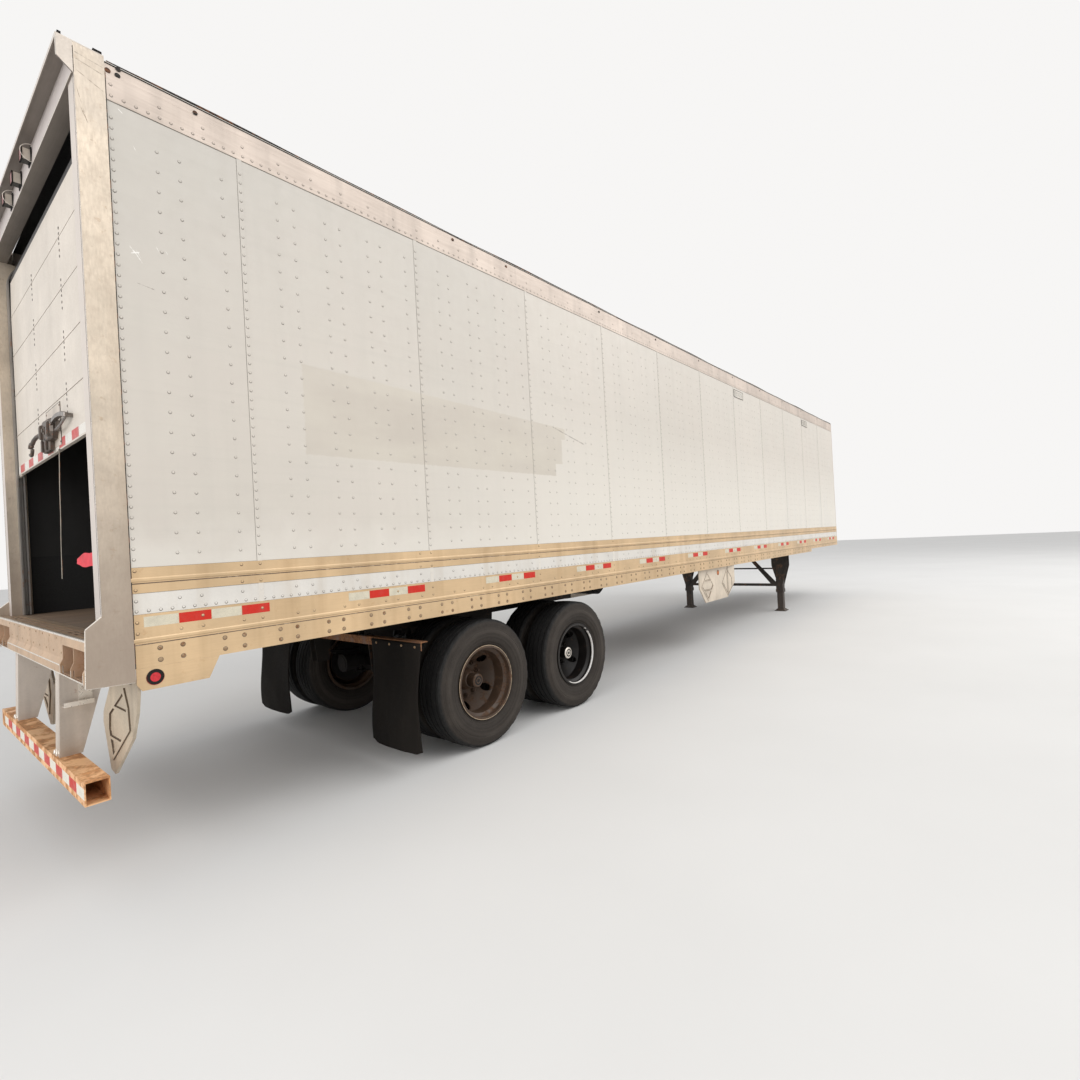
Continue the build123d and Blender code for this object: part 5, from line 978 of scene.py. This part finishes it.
# Bright lines on the header's lips: painted highlights.
lip_half = HALF - 0.01
lips = [((POST_REAR - 0.0086, -HALF + 0.012, 3.9555), (POST_REAR - 0.0078, HALF - 0.012, 3.9625))]
for low, high in ((HEADER_TOP - 0.0175, HEADER_TOP - 0.0125), (HEADER_TOP - 0.0030, HEADER_TOP)):
    lips.append(((HEADER_REAR - 0.0005, -lip_half, low), (HEADER_REAR + 0.0004, lip_half, high)))
run_boxes("header_lip", lips, "bright", "post_metal")


# The roof's edge moulding, a little wavy

MOULDING_Z = 4.0935
MOULDING_STEPS = 240
for side, tag in SIDES:
    moulding = Builder()
    points = []
    for k in range(MOULDING_STEPS + 1):
        x = 0.010 + 14.28 * k / MOULDING_STEPS
        wave = 0.0030 * math.sin(x * 2.3) + 0.0025 * math.sin(x * 5.1 + side)
        points.append((fx(x), side * 1.2880, MOULDING_Z + wave))
    moulding.wire(points, 0.0066, 6)
    moulding.piece("roof_edge_moulding_" + tag, "gap", "rail_metal")


# Rivets of the front wall

FORWARD = (1, 0, 0)
FRONT_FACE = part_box("front_wall")[1].x
NOSE_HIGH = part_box("nose_box")[1]
NOSE_MARGIN = 0.03
FRONT_RIVETS = (1.360, 3.860)
front_rivets = Fasteners(FORWARD)
for n in range(-3, 4):
    for y in (POST_PITCH * n - POST_HALF, POST_PITCH * n + POST_HALF):
        for z in column(*FRONT_RIVETS, WIDE_PITCH):
            if abs(y) > NOSE_HIGH.y + NOSE_MARGIN or z > NOSE_HIGH.z + NOSE_MARGIN:
                front_rivets.add(FRONT_FACE, y, z, RIVET)
front_rivets.pieces("front_wall_rivet", "sheet_front", "seam", "wall_sheet")
BAND_COUNT = 22
band_heads = Builder()
for n in range(BAND_COUNT):
    for node_name, z in (("top_rails", 3.935), ("lower_side_rails", 1.235)):
        place = (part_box(node_name)[1].x, -1.086 + WIDE_PITCH * n, z)
        band_heads.add(*RIVET, facing(place, FORWARD))
band_heads.piece("front_band_rivets", "top_rail", "rail_metal")


# Header lamps: trim and wire guards

LAMP_Z = 4.018
LAMP_BACK = POST_REAR - 0.008
LAMP_FACE = LAMP_BACK - 0.0445
LAMP_PITCH = 0.305
trim_x = (LAMP_FACE - 0.001, LAMP_FACE + 0.006)
lamp_trim = Builder()
guards = Builder()
for n in (-1, 0, 1):
    y = LAMP_PITCH * n
    frame_bars = [(y + dy, y + dy + 0.0025, LAMP_Z - 0.034, LAMP_Z + 0.034) for dy in (-0.0315, 0.029)]
    frame_bars += [(y - 0.0315, y + 0.0315, LAMP_Z + dz, LAMP_Z + dz + 0.0025) for dz in (-0.0345, 0.032)]
    for low_y, high_y, low_z, high_z in frame_bars:
        lamp_trim.box((trim_x[0], low_y, low_z), (trim_x[1], high_y, high_z))
    lamp_trim.box((LAMP_BACK - 0.004, y - 0.040, LAMP_Z - 0.044),
                  (LAMP_BACK + 0.002, y + 0.040, LAMP_Z + 0.044))
    if n:
        turns = [math.pi * k / 12 for k in range(13)]
        bow = [(LAMP_BACK - 0.052 * math.sin(a), y - 0.052, LAMP_Z - 0.050 * math.cos(a)) for a in turns]
        guards.wire(bow, 0.0017)
lamp_trim.piece("header_lamp_trim", "black", "black_parts")
guards.piece("header_lamp_guards", "bright", "post_metal")


# Sill: bright lips, face bolts, threshold ribs and holes

SILL_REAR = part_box("rear_sill")[0].x
SILL_FACE = SILL_REAR + 0.014
SILL_TOP = 1.285
SILL_HALF = 1.278
SILL_BOLT_COUNT = 18
SILL_BOLT_ROWS = (1.190, 1.262)
TREAD_COUNT = 60
TREAD_PITCH = 0.0373
POCKET_EDGES = (1.2735, 1.0415, 0.8095)
edge_x = SILL_REAR - 0.0001
run_boxes("sill_lips", [
    ((SILL_FACE - 0.0006, -SILL_HALF, SILL_TOP - 0.009), (SILL_FACE + 0.010, SILL_HALF, SILL_TOP + 0.0006)),
    ((edge_x, -0.800, 1.127), (SILL_REAR + 0.004, 0.800, 1.1345)),
    ((edge_x, -SILL_HALF, 1.084), (SILL_REAR + 0.0008, SILL_HALF, 1.090)),
], "bright", "galvanised")
sill_dots = Builder()
for n in range(SILL_BOLT_COUNT):
    place = (SILL_FACE, -0.78 + 0.092 * n, SILL_BOLT_ROWS[n % 2])
    sill_dots.add(*dome(0.0060, 0.0026), facing(place, REARWARD))
sill_dots.piece("sill_face_bolts", "bolt", "galvanised")
tread_ribs = Builder()
for n in range(TREAD_COUNT):
    y = -1.10 + TREAD_PITCH * n
    for x in (SILL_FACE + 0.022, SILL_FACE + 0.052, SILL_FACE + 0.082):
        tread_ribs.box((x, y, SILL_TOP), (x + 0.016, y + 0.005, SILL_TOP + 0.0012))
tread_ribs.piece("threshold_ribs", "sill", "galvanised")
holes = []
for y in (-0.93, -0.80, 0.80, 0.93):
    for x in (SILL_FACE + 0.034, SILL_FACE + 0.060):
        holes.append(((x, y, SILL_TOP - 0.001), (x + 0.012, y + 0.055, SILL_TOP + 0.0008)))
run_boxes("threshold_holes", holes, "gap", "galvanised")
pocket_lips = []
for side in (-1, 1):
    for y in POCKET_EDGES:
        pocket_lips.append(((edge_x, side * (y - 0.0072), 1.090), (SILL_REAR + 0.0015, side * y, 1.126)))
run_boxes("pocket_lips", pocket_lips, "bright", "galvanised")


# Latch: keeper plate, casting with its hook and ring, handle and rivets

# The keeper's corners and the outlines are (across, height). Routes start with the depth behind the door.
KEEPER = ((-0.300, 2.360), (0.080, 2.612))
HUB = (DOOR_REAR - 0.046, -0.125, 2.462)
# Each plate of the casting: its outline, the depths of its back and front, and its bevel.
CASTING_PLATES = (
    ([(-0.235, 2.404), (-0.262, 2.440), (-0.257, 2.500), (-0.220, 2.526), (-0.060, 2.535), (0.008, 2.512),
      (0.022, 2.462), (-0.010, 2.415), (-0.060, 2.394)], 0.0, 0.046, 0.014),
    ([(-0.236, 2.416), (-0.242, 2.498), (-0.212, 2.506), (-0.206, 2.414)], 0.040, 0.060, 0.006),
    ([(-0.046, 2.416), (-0.040, 2.508), (-0.012, 2.500), (-0.010, 2.424)], 0.040, 0.060, 0.006),
    ([(-0.128, 2.348), (-0.142, 2.420), (-0.110, 2.448), (0.020, 2.452), (0.062, 2.392), (0.036, 2.347)],
     0.006, 0.034, 0.008),
    ([(-0.110, 2.352), (-0.116, 2.420), (-0.094, 2.424), (-0.086, 2.352)], 0.030, 0.046, 0.004),
    ([(0.000, 2.352), (0.004, 2.426), (0.024, 2.420), (0.026, 2.352)], 0.030, 0.046, 0.004),
)
HOOK_ROUTE = ((0.030, -0.010, 2.466), (0.036, 0.070, 2.470), (0.044, 0.140, 2.466), (0.050, 0.195, 2.452),
              (0.053, 0.232, 2.432))
HANDLE = [(-0.236, 2.470), (-0.238, 2.492), (-0.290, 2.514), (-0.360, 2.522), (-0.440, 2.520),
          (-0.520, 2.510), (-0.592, 2.490), (-0.588, 2.468), (-0.520, 2.482), (-0.440, 2.494),
          (-0.360, 2.497), (-0.290, 2.490)]
HANDLE_BAR = ((0.022, -0.250, 2.446), (0.030, -0.330, 2.440), (0.030, -0.430, 2.446), (0.030, -0.510, 2.460),
              (0.030, -0.580, 2.474))


def off_door(points):
    """Points whose first number is a distance behind the door's face."""
    return [(DOOR_REAR - depth, y, z) for depth, y, z in points]


(keeper_y0, keeper_z0), (keeper_y1, keeper_z1) = KEEPER
keeper = Builder()
keeper.box((DOOR_REAR - 0.003, *KEEPER[0]), (DOOR_REAR + 0.001, *KEEPER[1]))
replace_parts(keeper.piece("latch_keeper_plate", "bracket", "galvanised"), "door_latch")

casting = Builder()
for outline, back, front, bevel in CASTING_PLATES:
    casting.plate(outline, DOOR_REAR - back, DOOR_REAR - front, bevel)
casting.wire(off_door(HOOK_ROUTE), 0.0120, 12)
turns = [math.radians(20 + 290 * k / 18) for k in range(19)]
eye = [(0.054, 0.270 + 0.040 * math.cos(a), 2.402 + 0.038 * math.sin(a)) for a in turns]
casting.wire(off_door(eye), 0.0098, 12)
casting.add(*prism(24, 0.024, 0.010, 0.003), facing(HUB, REARWARD))
casting.add(*prism(6, 0.014, 0.017, 0.002), facing(HUB, REARWARD))
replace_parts(casting.piece("latch_casting", "latch", "galvanised"), "door_latch")

handle = Builder()
handle.plate(HANDLE, DOOR_REAR - 0.020, DOOR_REAR - 0.042, 0.006)
handle.wire(off_door(HANDLE_BAR), 0.0070, 10)
handle.box((DOOR_REAR - 0.024, -0.592, 2.468), (DOOR_REAR, -0.576, 2.488))
handle.box((DOOR_REAR - 0.026, -0.300, 2.436), (DOOR_REAR, -0.286, 2.500))
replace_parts(handle.piece("latch_handle", "latch_handle", "galvanised"), "door_latch")

fixings = Builder()
for y in (keeper_y0 + 0.015, keeper_y1 - 0.015):
    for dz in (0.045, 0.11, 0.19, 0.262):
        fixings.add(*dome(0.0065, 0.0030), facing((DOOR_REAR - 0.003, y, DOOR_LOW + dz), REARWARD))
for low_y, high_y, low_z, high_z in (
        (keeper_y0 - 0.0015, keeper_y0 + 0.0010, keeper_z0, keeper_z1 + 0.0005),
        (keeper_y1 - 0.0010, keeper_y1 + 0.0015, keeper_z0, keeper_z1 + 0.0005),
        (keeper_y0 - 0.0015, keeper_y1 + 0.0015, keeper_z1 - 0.0010, keeper_z1 + 0.0015)):
    fixings.box((DOOR_REAR - 0.0036, low_y, low_z), (DOOR_REAR + 0.001, high_y, high_z))
fixings.piece("latch_fixings", "fastener", "galvanised")


# Guard beam bolts and a small step hook

BRACKET_Y = 0.620
HOOK_Y = -0.6202
guard_bolts = Builder()
for side in (-1, 1):
    for dy in (0.024, 0.074):
        turn = facing((beam_low.x + 0.0125, side * BRACKET_Y + dy, beam_high.z + 0.020), (-1, 0, 0.06))
        guard_bolts.add(*prism(24, 0.017, 0.003, 0.001), turn)
        guard_bolts.add(*prism(6, 0.0135, 0.0115, 0.002), turn)
guard_bolts.piece("guard_bolts", "bright", "guard_paint")
hook = Builder()
hook.box((beam_low.x + 0.105, -0.6260, 0.882), (beam_low.x + 0.165, HOOK_Y, 1.065))
hook.box((beam_low.x + 0.034, -0.6620, 0.878), (beam_low.x + 0.165, HOOK_Y, 0.885))
hook.box((beam_low.x + 0.034, -0.6620, 0.885), (beam_low.x + 0.165, -0.6565, 0.903))
hook.piece("bracket_step_hook", "bright", "guard_paint")


# Bright edges of the corner plates

plate_edges = Builder()
for side in (-1, 1):
    y = side * (HALF - 0.0045)
    face_x = SILL_FACE + 0.001
    plate_edges.wire([(face_x, y, 1.3352), (POST_REAR, y, 1.3884)], 0.0042, 6)
    plate_edges.wire([(SILL_REAR + 0.0055, y, 1.066), (face_x, y, 1.334)], 0.0040, 6)
    plate_edges.wire([(SILL_REAR + 0.007, y, 1.0645), (SHEET_REAR - 0.004, y, 1.0555)], 0.0040, 6)
plate_edges.piece("corner_plate_edges", "bright", "post_metal")


# Dark lines along the ribs of the aero panels and the side fairings: dirt and painted shade

DIRT_AND_SHADE_INSET = 0.004


def cut_between(points, low, high):
    """The part of a polygon of (across, height) points that lies between two heights."""
    for limit, keep_above in ((low, True), (high, False)):
        kept = []
        for k in range(len(points)):
            (y0, z0), (y1, z1) = points[k - 1], points[k]
            first, second = (z0 >= limit) == keep_above, (z1 >= limit) == keep_above
            if first != second:
                kept.append((y0 + (y1 - y0) * (limit - z0) / (z1 - z0), limit))
            if second:
                kept.append((y1, z1))
        points = kept
    return points


def dirt_and_shade_lines(build, corners, place, width=0.0034):
    """Low rounded dark lines just inside a cell's edge, dirt and painted shade at the rib's foot; place turns
    (across, height) into a point.
    """
    inner = towards(corners, DIRT_AND_SHADE_INSET)
    for k in range(len(inner)):
        build.wire([place(*inner[k - 1]), place(*inner[k])], width, 6)


KITE_DIAMOND = [(1.069, 0.998), (0.760, 0.828), (0.742, 0.732), (0.807, 0.574), (1.140, 0.791),
                (1.129, 0.906)]
KITE_CELLS = ((0.500, 0.690), (0.704, 0.866), (0.880, 1.000))
KITE_INNER = 0.86
mid_y = sum(y for y, z in KITE_DIAMOND) / 6
mid_z = sum(z for y, z in KITE_DIAMOND) / 6
kite_inner = [(mid_y + KITE_INNER * (y - mid_y), mid_z + KITE_INNER * (z - mid_z)) for y, z in KITE_DIAMOND]
kite_shade_and_dirt = Builder()
for side in (-1, 1):
    for cell in KITE_CELLS:
        dirt_and_shade_lines(kite_shade_and_dirt, cut_between(kite_inner, *cell), lambda y, z: (KITE_FACE + 0.0008, side * y, z))
    dirt_and_shade_lines(kite_shade_and_dirt, KITE_DIAMOND, lambda y, z: (KITE_FACE + 0.0012, side * y, z), 0.0030)
kite_shade_and_dirt.piece("kite_rib_shade_and_dirt", "seam_brown", "fairing_plastic")

REACH = 0.184
FULL_CELLS = ((-REACH, -0.074), (-0.062, 0.062), (0.074, REACH))
FAIRING_CELLS = ((fx(6.832), FULL_CELLS), (fx(7.547), ((-REACH, REACH),)))
FAIRING_FRONT = [(fx(7.552), 1.058), (fx(7.652), 0.930), (fx(7.660), 0.790), (fx(7.552), 0.682)]
fairing_low, fairing_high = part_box("mid_fairings")
fairing_z = fairing_low.z + (fairing_high.z - fairing_low.z) / 2 - 0.010
fairing_shade_and_dirt = Builder()
for side in (-1, 1):
    def on_fairing(x, z):
        bend = max(0.0, x - fx(7.550)) * 0.044 / 0.182
        return (x, side * (FAIRING_FACE + bend + 0.0008), z)
    for x, cells in FAIRING_CELLS:
        diamond = [(x + dx * REACH, fairing_z + dz * REACH) for dx, dz in ((-1, 0), (0, -1), (1, 0), (0, 1))]
        for low, high in cells:
            corners = cut_between(diamond, fairing_z + low, fairing_z + high)
            if x > fx(7.0):
                corners = [(min(a, fx(7.548)), z) for a, z in corners]
            dirt_and_shade_lines(fairing_shade_and_dirt, corners, on_fairing)
    for a, b in zip(FAIRING_FRONT, FAIRING_FRONT[1:]):
        fairing_shade_and_dirt.wire([on_fairing(*a), on_fairing(*b)], 0.0034, 6)
fairing_shade_and_dirt.piece("fairing_rib_shade_and_dirt", "seam_brown", "fairing_plastic")


# Side lamps: rubber grommets round the lenses, and rusty rings round the fairings' lamps

GROMMET = lathe(((0.0392, -0.004), (0.0392, 0.0020), (0.0370, 0.0033), (0.0240, 0.0034), (0.0212, 0.0026),
                 (0.0212, 0.0)), 40)
for name, finish, slot, x, y, z in (
        ("side_lamp_grommets", "black", "black_parts", 0.082, RAIL_Y, 1.063),
        ("fairing_lamp_rings", "rusty", "rusty_steel", 7.213, FAIRING_FACE, 1.038)):
    grommets = Builder()
    for side in (-1, 1):
        grommets.add(*GROMMET, facing((fx(x), side * y, z), (0, side, 0)))
    grommets.piece(name, finish, slot)


# Strap and tag, as thin cloth

def ribbon(name, centre, width, thickness, finish):
    """A flat band along a line of points, with a crowned, slightly curled section."""
    build = Builder()
    across = Vector((0, 1, 0))
    steps = [n / 8 - 0.5 for n in range(9)]
    rows = []
    for point, ahead in zip(centre, ways(centre)):
        side_way = (across - across.dot(ahead) / ahead.dot(ahead) * ahead).normalized()
        face = ahead.cross(side_way).normalized()
        section = [(u, thickness / 2) for u in steps] + [(u, -thickness / 2) for u in steps[::-1]]
        rows.append([Vector(point) + side_way * (u * width) + face * (0.0006 * math.cos(u * math.pi) + half)
                     for u, half in section])
    build.add(*skin(rows))
    return build.piece(name, finish, "strap_web")


def path_length(points):
    return sum((Vector(b) - Vector(a)).length for a, b in zip(points, points[1:]))


STRAP_WIDTH = 0.025
STRAP_STEPS = 40
strap_low, strap_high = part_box("pull_strap")
strap_points = []
for k in range(STRAP_STEPS + 1):
    t = k / STRAP_STEPS
    y = strap_low.y + 0.013 + (strap_high.y - strap_low.y - 0.026) * (t ** 1.15)
    z = strap_high.z - (strap_high.z - strap_low.z) * t
    x = strap_low.x + 0.0005 - 0.004 * math.sin(t * math.pi) ** 2 * (0.6 + 0.4 * math.sin(t * 9.0))
    strap_points.append((x, y, z))
strap = ribbon("door_pull_strap", strap_points, STRAP_WIDTH, 0.0018, "webbing")
for edge, name in ((-0.0122, "near"), (0.0122, "far")):
    hem_points = [(x - 0.0002, y + edge, z) for x, y, z in strap_points]
    ribbon("strap_edge_" + name, hem_points, 0.0045, 0.0026, "gap")
path_length(strap_points)
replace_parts(strap, "pull_strap")

TAG_COLS, TAG_ROWS = 40, 16
tag_low, tag_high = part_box("red_tag")
tag_x = (tag_low.x + tag_high.x) / 2
tag_length = tag_high.y - tag_low.y - 0.024
tag_grid = [[] for j in range(TAG_ROWS + 1)]
for j, row in enumerate(tag_grid):
    w = j / TAG_ROWS
    for i in range(TAG_COLS + 1):
        u = i / TAG_COLS
        top = 1.7040 - 0.026 * u ** 1.5 - 0.006 * math.sin(u * 8.0)
        low = 1.6215 + 0.020 * u + 0.007 * math.sin(u * 6.0 + 1.0)
        x = tag_x + 0.0012 * math.sin(u * 17.0 + w * 2.2) * (0.4 + 0.6 * (1 - w))
        row.append((x, tag_low.y + 0.022 + tag_length * u, low + (top - low) * w))
tag_build = Builder()
tag_build.add(*thick_sheet(tag_grid, 0.0008))
tag_piece = tag_build.piece("red_tag_cloth", "cloth_red", "red_cloth", smooth=True)
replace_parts(tag_piece, "red_tag")
hook_wire = Builder()
hook_wire.wire([(tag_x, y, z) for y, z in ((-1.179, 1.698), (-1.176, 1.722), (-1.166, 1.750), (-1.160, 1.772),
                                           (-1.166, 1.785), (-1.176, 1.786), (-1.1825, 1.778))], 0.0018)
hook_wire.piece("red_tag_hook", "bright", "galvanised")


# Mud flaps: rubber sheets that sway and curl, with cut lower corners

FLAP_COLS, FLAP_ROWS = 24, 40
FLAP_THICKNESS = 0.0065
FLAP_Y = (0.662, 1.268)
FLAP_WAIST = 0.030
FLAP_SWAY = 0.040
FLAP_CURL = 0.010
STRAIGHT_SHARE = 0.09
CUT_SHARE = 0.03
FLAP_BOLTS_Y = (0.73, 0.90, 1.05, 1.21)
flap_low, flap_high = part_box("mud_flaps")


def flap_point(u, w, side):
    """A point of a flap, for its share across (u) and down (w)."""
    waist = FLAP_WAIST * math.sin(min(1.0, w * 1.15) * math.pi) ** 1.5
    y0, y1 = FLAP_Y[0] + waist * 0.9, FLAP_Y[1] - waist
    sway = 0.0 if w < STRAIGHT_SHARE else FLAP_SWAY * (1 - math.cos((w - STRAIGHT_SHARE) * 4.1)) / 2
    curl = FLAP_CURL * math.sin(u * 6.0 + w * 5.0) * w
    x = flap_high.x - 0.0048 - min(0.042, max(0.0, sway + curl))
    z = flap_high.z - (flap_high.z - flap_low.z - 0.004) * w
    if w > 1 - CUT_SHARE:
        z += 0.030 * max(0.0, abs(u - 0.5) * 2 - 0.80) / 0.2 * (w - (1 - CUT_SHARE)) / CUT_SHARE
    return (x, side * (y0 + (y1 - y0) * u), z)


flap_bolts = Builder()
for side, tag in SIDES:
    build = Builder()
    grid = [[flap_point(i / FLAP_COLS, j / FLAP_ROWS, side) for i in range(FLAP_COLS + 1)]
            for j in range(FLAP_ROWS + 1)]
    build.add(*thick_sheet(grid, FLAP_THICKNESS, flip=side > 0))
    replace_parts(build.piece("mud_flap_" + tag, "rubber", "flap_rubber", smooth=True), "mud_flaps")
    for y in FLAP_BOLTS_Y:
        place = (flap_high.x - 0.0085, side * y, flap_high.z - 0.028)
        flap_bolts.add(*prism(6, 0.010, 0.006, 0.0015), facing(place, REARWARD))
flap_bolts.piece("flap_bolts", "bolt", "rusty_steel")


# Tyres, turned with grooves, shoulder blocks and sidewall rings

# Half of a tyre's section as (radius, distance from its middle). The shoulder rows are the notched ones.
TYRE_HALF = (
    (0.2863, 0.1025), (0.3010, 0.1025), (0.3120, 0.1090), (0.3180, 0.1085), (0.3300, 0.1230),
    (0.3650, 0.1330), (0.3990, 0.1369), (0.4230, 0.1366), (0.4250, 0.1345), (0.4300, 0.1345),
    (0.4320, 0.1360), (0.4540, 0.1335), (0.4560, 0.1310), (0.4620, 0.1308), (0.4840, 0.1265),
    (0.4930, 0.1215), (0.5030, 0.1160), (0.5090, 0.1060), (0.5100, 0.0840), (0.4960, 0.0820),
    (0.4960, 0.0740), (0.5112, 0.0720), (0.5125, 0.0330), (0.4965, 0.0310), (0.4965, 0.0230),
    (0.5128, 0.0210),
)
SHOULDER = (0.4930, 0.5030)
NOTCH_DEPTH = 0.006
TYRE_SEGMENTS = 150


def tyre(axle_x, centre_y):
    rows = []
    for r, y in [(r, -y) for r, y in TYRE_HALF] + list(TYRE_HALF[::-1]):
        row = []
        for n in range(TYRE_SEGMENTS):
            a = 2 * math.pi * n / TYRE_SEGMENTS
            radius = r - (NOTCH_DEPTH if r in SHOULDER and n % 5 in (0, 1) else 0.0)
            row.append((axle_x + radius * math.cos(a), centre_y + y, AXLE_Z + radius * math.sin(a)))
        rows.append(row)
    return skin(rows, flip=True, caps=False, closed=True)


# Wheels: tyres, nuts, rim lip, hub cap rings and the cap's dark face

NUT_CIRCLE = 0.1429
NUT_Y = MOUNT_Y + 0.011
NUT_COUNT = 10
NUT_LEVELS = ((24, 0.022, 0.004, 0.001), (6, 0.019, 0.026, 0.003), (12, 0.011, 0.040, 0.002))
RIM_EDGE_Y = OUTER_TYRE + 0.115
CAP_Y = 1.1530
REAR_LIP = ((0.2940, -0.0005), (0.2944, 0.0006), (0.2976, 0.0006), (0.2984, -0.0010), (0.2984, -0.0060))
FRONT_LIP = ((0.2766, -0.0150), (0.2766, 0.0000), (0.2775, 0.0006), (0.2835, 0.0006), (0.2845, -0.0004))
CAP_RING = ((0.0555, -0.0070), (0.0500, -0.0018), (0.0465, 0.0004), (0.0400, 0.0006), (0.0385, -0.0002))
CAP_BOSS = ((0.0260, 0.0), (0.0250, 0.0030), (0.0170, 0.0034), (0.0150, 0.0008))


def wheel_pair(end, axle_x, side, tag, rim, lip_section, lip_finish, cap_finish):
    body = "wheels_" + tag
    tyres, nuts, lip, cap, face = [Builder() for n in range(5)]

    def hub(y):
        return facing((axle_x, side * y, AXLE_Z), (0, side, 0))

    for centre in (OUTER_TYRE, INNER_TYRE):
        tyres.add(*tyre(axle_x, side * centre))
    for n in range(NUT_COUNT):
        a = 2 * math.pi * (n + 0.5) / NUT_COUNT
        place = (axle_x + NUT_CIRCLE * math.cos(a), side * NUT_Y, AXLE_Z + NUT_CIRCLE * math.sin(a))
        for level in NUT_LEVELS:
            nuts.add(*prism(*level), facing(place, (0, side, 0), a))
    lip.add(*lathe(lip_section, 96), hub(RIM_EDGE_Y))
    cap.add(*lathe(CAP_RING, 40), hub(CAP_Y + 0.0005))
    cap.add(*lathe(CAP_BOSS, 32), hub(CAP_Y))
    face.add(*disc(0.0385, 0.0006, 32), hub(CAP_Y))
    face.add(*disc(0.0150, 0.0016, 24), hub(CAP_Y))
    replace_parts(tyres.piece("tyres_tread_" + tag, "tyre_" + end, "tyre", body), "tyres_" + tag)
    lip.piece("rim_lip_" + tag, lip_finish, rim, body, smooth=True)
    cap.piece("hub_cap_rings_" + tag, cap_finish, rim, body, smooth=True)
    face.piece("hub_cap_face_" + tag, "rim_dark", rim, body)
    nuts.piece("wheel_nuts_" + tag, rim, rim, body)


for side, name in SIDES:
    wheel_pair("rear", AXLES["rear"], side, "rear_" + name, "rim_rust", REAR_LIP, "rim_line", "rim_rust")
    wheel_pair("front", AXLES["front"], side, "front_" + name, "rim_dark", FRONT_LIP, "rim_lip", "bright")


# Camera at the photograph's viewpoint

YAW = math.radians(39.84)
PITCH = math.radians(0.12)
ROLL = math.radians(-3.06)
EYE = (-7.990, -4.601, 1.635)
SENSOR = 36.0
FOCAL_PIXELS = 568.9
PHOTO_PIXELS = 1080.0
scene = bpy.context.scene
forward = Vector((math.cos(YAW) * math.cos(PITCH), math.sin(YAW) * math.cos(PITCH), math.sin(PITCH)))
level = Vector((math.sin(YAW), -math.cos(YAW), 0.0))
upright = level.cross(forward)
right = math.cos(ROLL) * level + math.sin(ROLL) * upright
up = -math.sin(ROLL) * level + math.cos(ROLL) * upright
camera_data = bpy.data.cameras.new("camera")
camera_data.sensor_width = SENSOR
camera_data.lens = SENSOR * FOCAL_PIXELS / PHOTO_PIXELS
camera_data.clip_end = 200.0
camera = bpy.data.objects.new("camera", camera_data)
camera.matrix_world = Matrix([*zip(right, up, -forward, EYE), (0, 0, 0, 1)])
scene.collection.objects.link(camera)
scene.camera = camera


# Floor, world and lamps

FLOOR_REACH = 60.0
floor_tree = Tree("studio_floor")
floor_colour = floor_tree.mix(floor_tree.cloud(0.5, 3.0, 0.3, 0.7), (0.70, 0.69, 0.67), (0.73, 0.72, 0.70))
floor_mesh = bpy.data.meshes.new("studio_floor")
floor_corners = [(x * FLOOR_REACH, y * FLOOR_REACH, 0) for x, y in ((-1, -1), (1, -1), (1, 1), (-1, 1))]
floor_mesh.from_pydata(floor_corners, [], [(0, 1, 2, 3)])
floor_mesh.materials.append(floor_tree.surface(floor_colour, 0.9))
floor_object = bpy.data.objects.new("studio_floor", floor_mesh)
scene.collection.objects.link(floor_object)

world = bpy.data.worlds.new("studio_world")
scene.world = world
world.use_nodes = True
nodes = world.node_tree.nodes
links = world.node_tree.links
nodes.clear()
paths = nodes.new("ShaderNodeLightPath")
seen = nodes.new("ShaderNodeMath")
seen.operation = "MAXIMUM"
links.new(paths.outputs["Is Camera Ray"], seen.inputs[0])
links.new(paths.outputs["Is Glossy Ray"], seen.inputs[1])
choose = nodes.new("ShaderNodeMixShader")
links.new(seen.outputs[0], choose.inputs[0])
for index, colour, strength in ((1, (0.97, 0.98, 1.0, 1.0), 0.80), (2, (0.93, 0.92, 0.91, 1.0), 1.0)):
    background = nodes.new("ShaderNodeBackground")
    background.inputs[0].default_value = colour
    background.inputs[1].default_value = strength
    links.new(background.outputs[0], choose.inputs[index])
world_out = nodes.new("ShaderNodeOutputWorld")
links.new(choose.outputs[0], world_out.inputs[0])


def area_lamp(name, place, target, size, power):
    data = bpy.data.lights.new(name, "AREA")
    data.shape = "RECTANGLE"
    data.size, data.size_y = size
    data.energy = power
    lamp = bpy.data.objects.new(name, data)
    lamp.matrix_world = facing(place, Vector(place) - Vector(target))
    scene.collection.objects.link(lamp)


area_lamp("sky_lamp", (6.0, -12.0, 13.0), (4.0, 0.0, 1.5), (30.0, 12.0), 1980.0)
area_lamp("rear_lamp", (-17.0, -3.0, 5.0), (-7.0, 0.0, 1.8), (8.0, 7.0), 540.0)

scene.view_settings.view_transform = "Standard"
